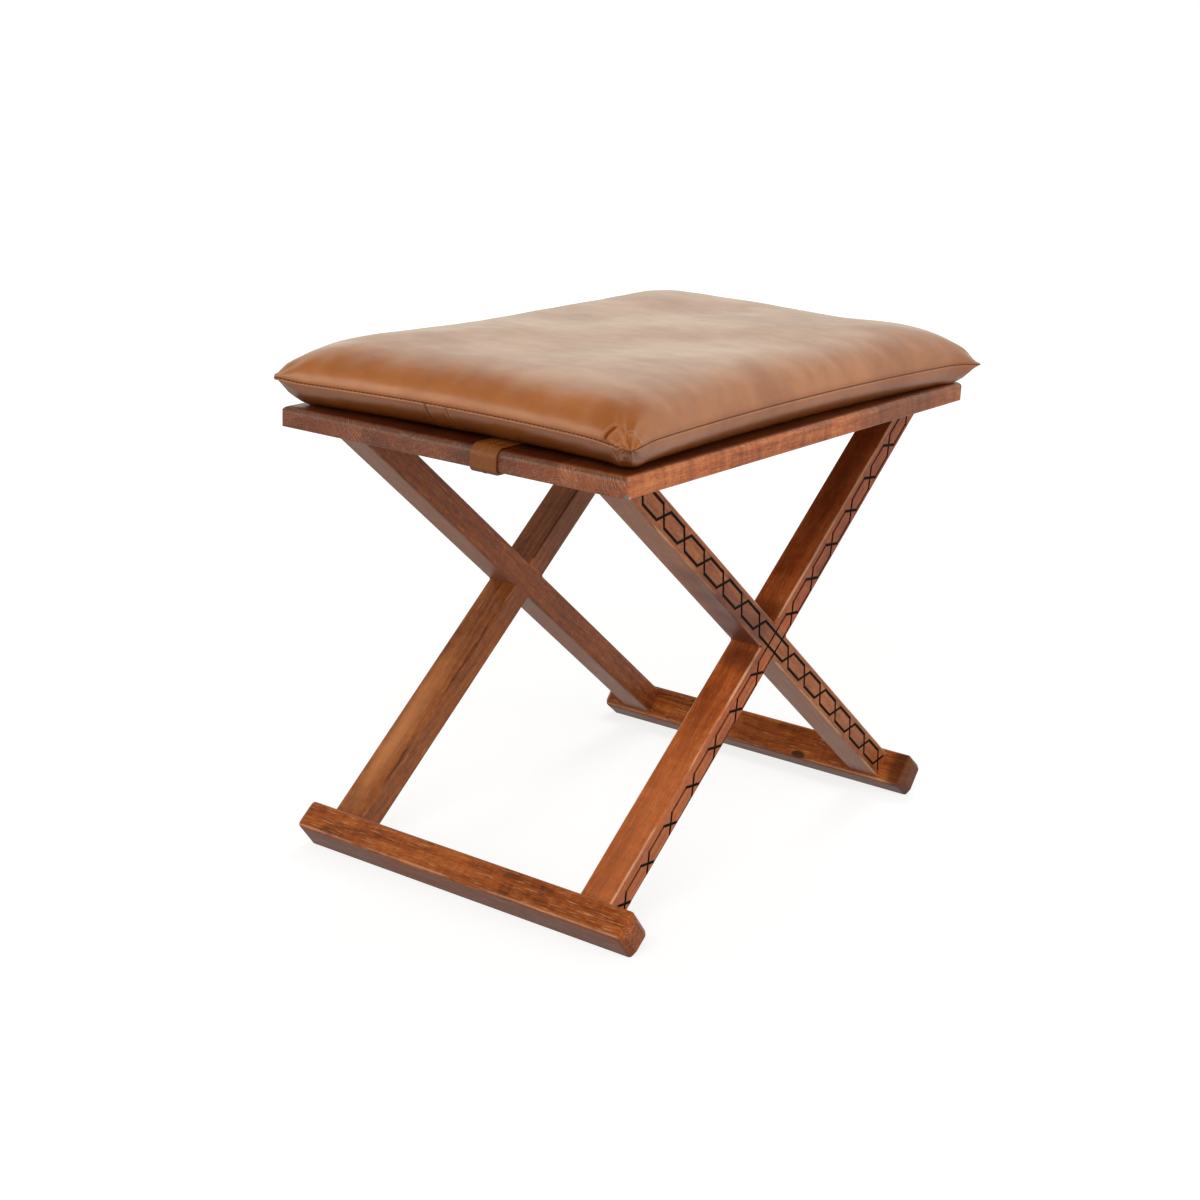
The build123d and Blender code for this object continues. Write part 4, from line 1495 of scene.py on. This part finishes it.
    def pockets(self, body: bpy.types.Object) -> None:
        """Cut the round openings in the underside in which the press studs' sockets sit."""
        low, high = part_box("snap_sockets")
        depth = high.z + 0.4 * MM
        sides = 32
        turn = np.arange(sides) / sides * 2 * math.pi
        ring = np.stack([np.cos(turn), np.sin(turn)], 1) * self.socket_room
        points, faces = [], []
        for end in (low.y + (high.x - low.x) / 2, high.y - (high.x - low.x) / 2):
            middle = ((low.x + high.x) / 2, end)
            first = len(points)
            for level in (low.z - 20 * MM, depth):
                points += [(x, y, level) for x, y in ring + middle]
            lower = np.arange(sides) + first
            upper = lower + sides
            faces += np.stack([lower, np.roll(lower, -1), np.roll(upper, -1), upper], 1).tolist()
            faces += [lower[::-1].tolist(), upper.tolist()]
        cutter = make_piece("socket_cutter", np.array(points), faces, CUSHION)
        cut = body.modifiers.new("pockets", "BOOLEAN")
        cut.operation, cut.solver, cut.object = "DIFFERENCE", "EXACT", cutter
        evaluated = body.evaluated_get(bpy.context.evaluated_depsgraph_get())
        mesh = bpy.data.meshes.new_from_object(evaluated)
        body.modifiers.clear()
        old, body.data = body.data, mesh
        bpy.data.meshes.remove(old)
        discard(cutter)

    def seam_stitches(self) -> tuple[np.ndarray, np.ndarray, np.ndarray]:
        """Places, ways and outward directions of the stitches round the seam."""
        path = self.seam_path()
        path[:, 2] -= 0.4 * MM
        places, ways = resample(path, self.stitch_pitch, 0.0, closed=True)
        out = unit(np.cross(ways, (0, 0, 1.0)))
        return places - out * self.stitch_sink, ways, out

    def join_stitches(self, u: np.ndarray, v: np.ndarray,
                      lower: np.ndarray) -> tuple[np.ndarray, np.ndarray, np.ndarray]:
        """The short row beside the left join of the lower panel.

        Args:
            u: grid shares across.
            v: grid shares along.
            lower: finished points of the lower panel.

        Returns:
            Places, ways and outward directions of the stitches.
        """
        column = np.argmin(np.abs(u[0] - (self.join_places[0] + self.join_row) / self.half_x))
        from_edge = (v[:, column] + 1) * self.half_y
        run = (from_edge > 0.8 * MM) & (from_edge < self.roll_reaches[1] * 0.7)
        places, ways = resample(lower[run, column], 3.0 * MM, 1.0 * MM)
        out = unit(np.cross(ways, (1.0, 0, 0)))
        return places, ways, out * np.where(out[:, 1:2] > 0, -1, 1)

    def bearing(self, points: np.ndarray) -> np.ndarray:
        """Lowest height that the underside may have: the board, and the straps on it."""
        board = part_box("seat_plank_mid_right")[1].z + self.rest_gap
        floor = np.full(points.shape[:-1], board)
        for name, spread in (("front_strap", 10 * MM), ("rear_strap", 10 * MM)):
            low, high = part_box(name)
            out_x = np.maximum(low.x - points[..., 0], points[..., 0] - high.x)
            out_y = np.maximum(low.y - points[..., 1], points[..., 1] - high.y)
            away = np.clip(np.maximum(out_x, out_y), 0, None) / spread
            top = high.z + self.rest_gap
            floor = np.maximum(floor, board + (top - board) * np.clip(1.15 - away ** 2, 0, 1))
        return floor

    def seam_path(self, count: int = 700) -> np.ndarray:
        """Seam line all the way round, from the plan and the seam's height."""
        run = np.linspace(-1, 1, count)[:-1]
        one = np.ones_like(run)
        u = np.concatenate([run, one, -run, -one])
        v = np.concatenate([-one, run, one, -run])
        x, y = self.plan(u, v)
        return np.stack([x, y, self.seam_level(u, v)], -1) + self.tips(u, v)

    def grid(self) -> tuple[np.ndarray, np.ndarray]:
        """Shares across and along, from -1 to 1, finer near the pinched fold and the joins."""
        near_tuck = list(np.arange(self.tuck_x - 6 * MM, self.half_x - 1.5 * MM, 0.6 * MM))
        near_end = list(np.arange(1 * MM, 20 * MM, 0.8 * MM) - self.half_y)
        near_joins = [join + step * MM for join in self.join_places for step in np.arange(-4, 4.1, 0.7)]
        u, v = np.meshgrid(self.rulings(self.half_x, near_tuck + near_joins),
                           self.rulings(self.half_y, near_end))
        return u, v

    def creased(self, v: np.ndarray, upper: np.ndarray, lower: np.ndarray, upper_height: np.ndarray,
                lower_height: np.ndarray) -> np.ndarray:
        """How near each point of the closed mesh is to the seam, the pinched fold or a join.

        The least of the height from the seam and of the way to the fold or the joins, each weighted
        so that its shade is as wide as it should be. The joins run over the front half only.

        Args:
            v: grid shares along.
            upper: points of the upper panel.
            lower: points of the lower panel.
            upper_height: heights of the upper panel's points over the seam.
            lower_height: depths of the lower panel's points under the seam.

        Returns:
            The distances, in the order of the closed mesh's points.
        """
        fold, strength = self.from_tuck(upper[..., 0], upper[..., 1])
        over = np.minimum(upper_height, np.abs(fold) * 0.8 * MM + (1.05 - strength) * 3 * MM)
        under = lower_height
        for join, weight in zip(self.join_places, (0.7, 1.4)):
            under = np.minimum(under, np.abs(lower[..., 0] - join) * weight + (v > 0))
        return np.concatenate([over.ravel(), under[1:-1, 1:-1].ravel()])

    def build(self) -> None:
        """Make both panels as one closed piece, then the stitches along its seam."""
        u, v = self.grid()
        upper, upper_height = self.shaped(Panel.UPPER, u, v)
        lower, lower_height = self.shaped(Panel.LOWER, u, v)
        above, below = self.settle()
        upper += self.spread(above, u, v) * np.clip(upper_height / (2 * MM), 0, 1)[..., None]
        lower += self.spread(below, u, v) * np.clip(lower_height / (2 * MM), 0, 1)[..., None]
        floor = self.bearing(lower)
        lower[..., 2] = np.maximum(lower[..., 2], floor)

        points, faces, _ = self.joined(upper, lower)
        body = make_piece("cushion_leather", points, faces, CUSHION)
        # The seam attribute places the painted shade of the seam's groove and the pinched fold, and the
        # darker joins
        set_attribute(body, "seam", self.creased(v, upper, lower, upper_height, lower_height))
        self.pockets(body)
        dress(body, self.hide)
        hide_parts("cushion_top_panel", "cushion_bottom_panel", "cushion_insert")

        rows = (self.seam_stitches(), self.join_stitches(u, v, lower))
        counts = [len(places) for places, _, _ in rows]
        sizes = (np.repeat(each, counts) for each in (self.stitch_lengths, self.stitch_radii))
        rods = stitches(*(np.vstack(part) for part in zip(*rows)), *sizes)
        sewing = make_piece("cushion_seam_stitches", *rods, CUSHION)
        dress(sewing, self.thread)
        log.info("cushion: %d points, %d stitches", len(points), sum(counts))


@dataclass(frozen=True)
class Softbox:
    """Square soft lamp: where it hangs, the point that it faces, the length of its side, and watts.

    A mirrored one is warm white and shows in the lacquer and the wax.
    """

    name: str
    place: tuple[float, float, float]
    aim: tuple[float, float, float]
    size: float
    power: float
    mirrored: bool = False


@dataclass
class Studio:
    """White cove, soft lamps and the camera at the photograph's place."""

    eye: tuple[float, float, float] = (1.155956, -1.681964, 0.850247)
    right: tuple[float, float, float] = (0.80702849, 0.58912568, 0.04044682)
    up: tuple[float, float, float] = (-0.20178643, 0.210754, 0.95648575)
    back: tuple[float, float, float] = (0.55496599, -0.78007287, 0.28896206)
    lens: float = 63.512
    sensor: float = 36.0
    fill: float = 0.55
    ceiling: float = 0.22
    wall_share: float = 0.3
    floor_half: float = 60.0
    floor_grey: float = 0.5
    floor_seen: float = 0.28
    floor_glow: tuple[float, float, float, float] = (0.9, 2.6, 0.79, 1.0)
    floor_sheen: float = 0.65
    near_shade: float = 0.45
    warm_white: str = "#FFFDEE"
    floor_tint: str = "#FFF3EC"
    lamps: tuple[Softbox, ...] = (
        Softbox("key_softbox", (-1.35, -2.2, 1.15), (0, -0.1, 0.45), 0.9, 4, mirrored=True),
        Softbox("front_softbox", (0.9, -2.3, 1.9), (0, -0.1, 0.3), 2.0, 52),
        Softbox("back_softbox", (-0.5, 1.6, 1.9), (0, 0, 0.4), 1.0, 16),
        Softbox("side_softbox", (2.2, 0.2, 0.55), (0, 0, 0.4), 1.6, 18),
    )

    def camera(self) -> None:
        """Place the camera by its measured axes."""
        data = bpy.data.cameras.new("camera")
        data.lens, data.sensor_width = self.lens, self.sensor
        data.clip_start, data.clip_end = 0.05, 100
        camera = bpy.data.objects.new("camera", data)
        turn = Matrix((self.right, self.up, self.back)).transposed().to_4x4()
        camera.matrix_world = Matrix.Translation(self.eye) @ turn
        bpy.context.scene.collection.objects.link(camera)
        bpy.context.scene.camera = camera

    def shown(self, tree: bpy.types.NodeTree) -> bpy.types.NodeSocket:
        """One where the camera, a reflection or a refraction looks, and zero for light that spreads."""
        path = add(tree, "ShaderNodeLightPath").outputs
        total = maths(tree, "MAXIMUM", path["Is Camera Ray"], path["Is Glossy Ray"])
        return maths(tree, "MAXIMUM", total, path["Is Transmission Ray"])

    def floor(self) -> None:
        """White sweep: matt for the light on the stool, nearly shadowless white to the camera."""
        material = bpy.data.materials.new("white_sweep_paper")
        material.use_nodes = True
        tree = material.node_tree
        tree.nodes.clear()
        matt, thin = (add(tree, "ShaderNodeBsdfDiffuse", {"Color": (grey, grey, grey, 1)}).outputs[0]
                      for grey in (self.floor_grey, self.floor_seen))
        place = add(tree, "ShaderNodeTexCoord").outputs["Object"]
        away = add(tree, "ShaderNodeVectorMath", {0: place}, operation="LENGTH").outputs["Value"]
        strength = ramp(tree, away, *self.floor_glow)
        glow = add(tree, "ShaderNodeEmission", {"Color": (1, 1, 1, 1), "Strength": strength}).outputs[0]
        bright = add(tree, "ShaderNodeAddShader", {0: thin, 1: glow}).outputs[0]
        inputs = {"Color": linear(self.floor_tint), "Strength": self.floor_sheen}
        dull = add(tree, "ShaderNodeEmission", inputs).outputs[0]
        path = add(tree, "ShaderNodeLightPath").outputs
        spread = add(tree, "ShaderNodeMixShader", {0: path["Is Glossy Ray"], 1: matt, 2: dull}).outputs[0]
        parts = {0: path["Is Camera Ray"], 1: spread, 2: bright}
        mixed = add(tree, "ShaderNodeMixShader", parts).outputs[0]
        add(tree, "ShaderNodeOutputMaterial", {"Surface": mixed})
        half = self.floor_half
        mesh = bpy.data.meshes.new("floor")
        corners = [(-half, -half, 0), (half, -half, 0), (half, half, 0), (-half, half, 0)]
        mesh.from_pydata(corners, [], [(0, 1, 2, 3)])
        floor = bpy.data.objects.new("floor", mesh)
        floor.data.materials.append(material)
        bpy.context.scene.collection.objects.link(floor)

    def world(self) -> None:
        """White walls under a grey ceiling: full white where the camera looks, softer as light."""
        world = bpy.data.worlds.new("studio")
        bpy.context.scene.world = world
        world.use_nodes = True
        tree = world.node_tree
        way = add(tree, "ShaderNodeTexCoord").outputs["Generated"]
        axes = add(tree, "ShaderNodeSeparateXYZ", {0: way}).outputs
        towards = maths(tree, "MAXIMUM", maths(tree, "MULTIPLY", axes[1], -1.0), 0.0)
        height = maths(tree, "MULTIPLY_ADD", towards, self.near_shade, axes[2])
        walls = ramp(tree, height, 0.6, 0.85, 1.0, self.ceiling)
        camera = add(tree, "ShaderNodeLightPath").outputs["Is Camera Ray"]
        seen = maths(tree, "MULTIPLY", self.shown(tree), walls)
        spread = maths(tree, "MULTIPLY_ADD", walls, self.wall_share, self.fill - self.wall_share)
        unseen = maths(tree, "SUBTRACT", 1.0, self.shown(tree))
        soft = maths(tree, "MULTIPLY_ADD", spread, unseen, seen)
        strength = maths(tree, "MAXIMUM", camera, soft)
        background = tree.nodes["Background"]
        tint = mix_colour(tree, camera, linear(self.warm_white), (1, 1, 1, 1))
        tree.links.new(tint, background.inputs["Color"])
        tree.links.new(strength, background.inputs["Strength"])

    def hang(self, box: Softbox) -> None:
        """Hang one lamp and turn it to the point that it faces."""
        data = bpy.data.lights.new(box.name, "AREA")
        data.shape, data.size, data.energy = "SQUARE", box.size, box.power
        data.color = linear(self.warm_white)[:3] if box.mirrored else (1, 1, 1)
        lamp = bpy.data.objects.new(box.name, data)
        lamp.location = box.place
        lamp.visible_glossy = box.mirrored
        lamp.rotation_euler = (Vector(box.aim) - Vector(box.place)).to_track_quat("-Z", "Y").to_euler()
        bpy.context.scene.collection.objects.link(lamp)

    def build(self) -> None:
        """Set up floor, world, lamps and camera."""
        bpy.context.scene.view_settings.view_transform = "Standard"
        self.camera()
        self.floor()
        self.world()
        for box in self.lamps:
            self.hang(box)
        log.info("studio: camera, floor, world and %d lamps", len(self.lamps))


def main() -> None:
    """Dress the CAD pieces, add the leather work and set up the studio."""
    logging.basicConfig(level=logging.INFO, format="%(message)s")
    Studio().build()
    SeatBoard().build()
    CrossedLegs().build()
    FootBars().build()
    Hardware().build()
    strap_hide = Leather("bridle_leather_strap", "#6A3610", "#84481A", crease_shade="#4A2208", wax=0.0).make()
    strap_thread = Thread("cognac_thread", "#A8743C", "#6E4420").make()
    for end in End:
        Strap(end, strap_hide, strap_thread).build()
    cushion_hide = Leather("waxed_cowhide_cushion", "#8C4A1A", "#AE662A").make()
    seam_thread = Thread("brown_thread", "#6E3C18", "#3A1A08").make()
    Cushion(cushion_hide, seam_thread).build()


if __name__ == "__main__":
    main()
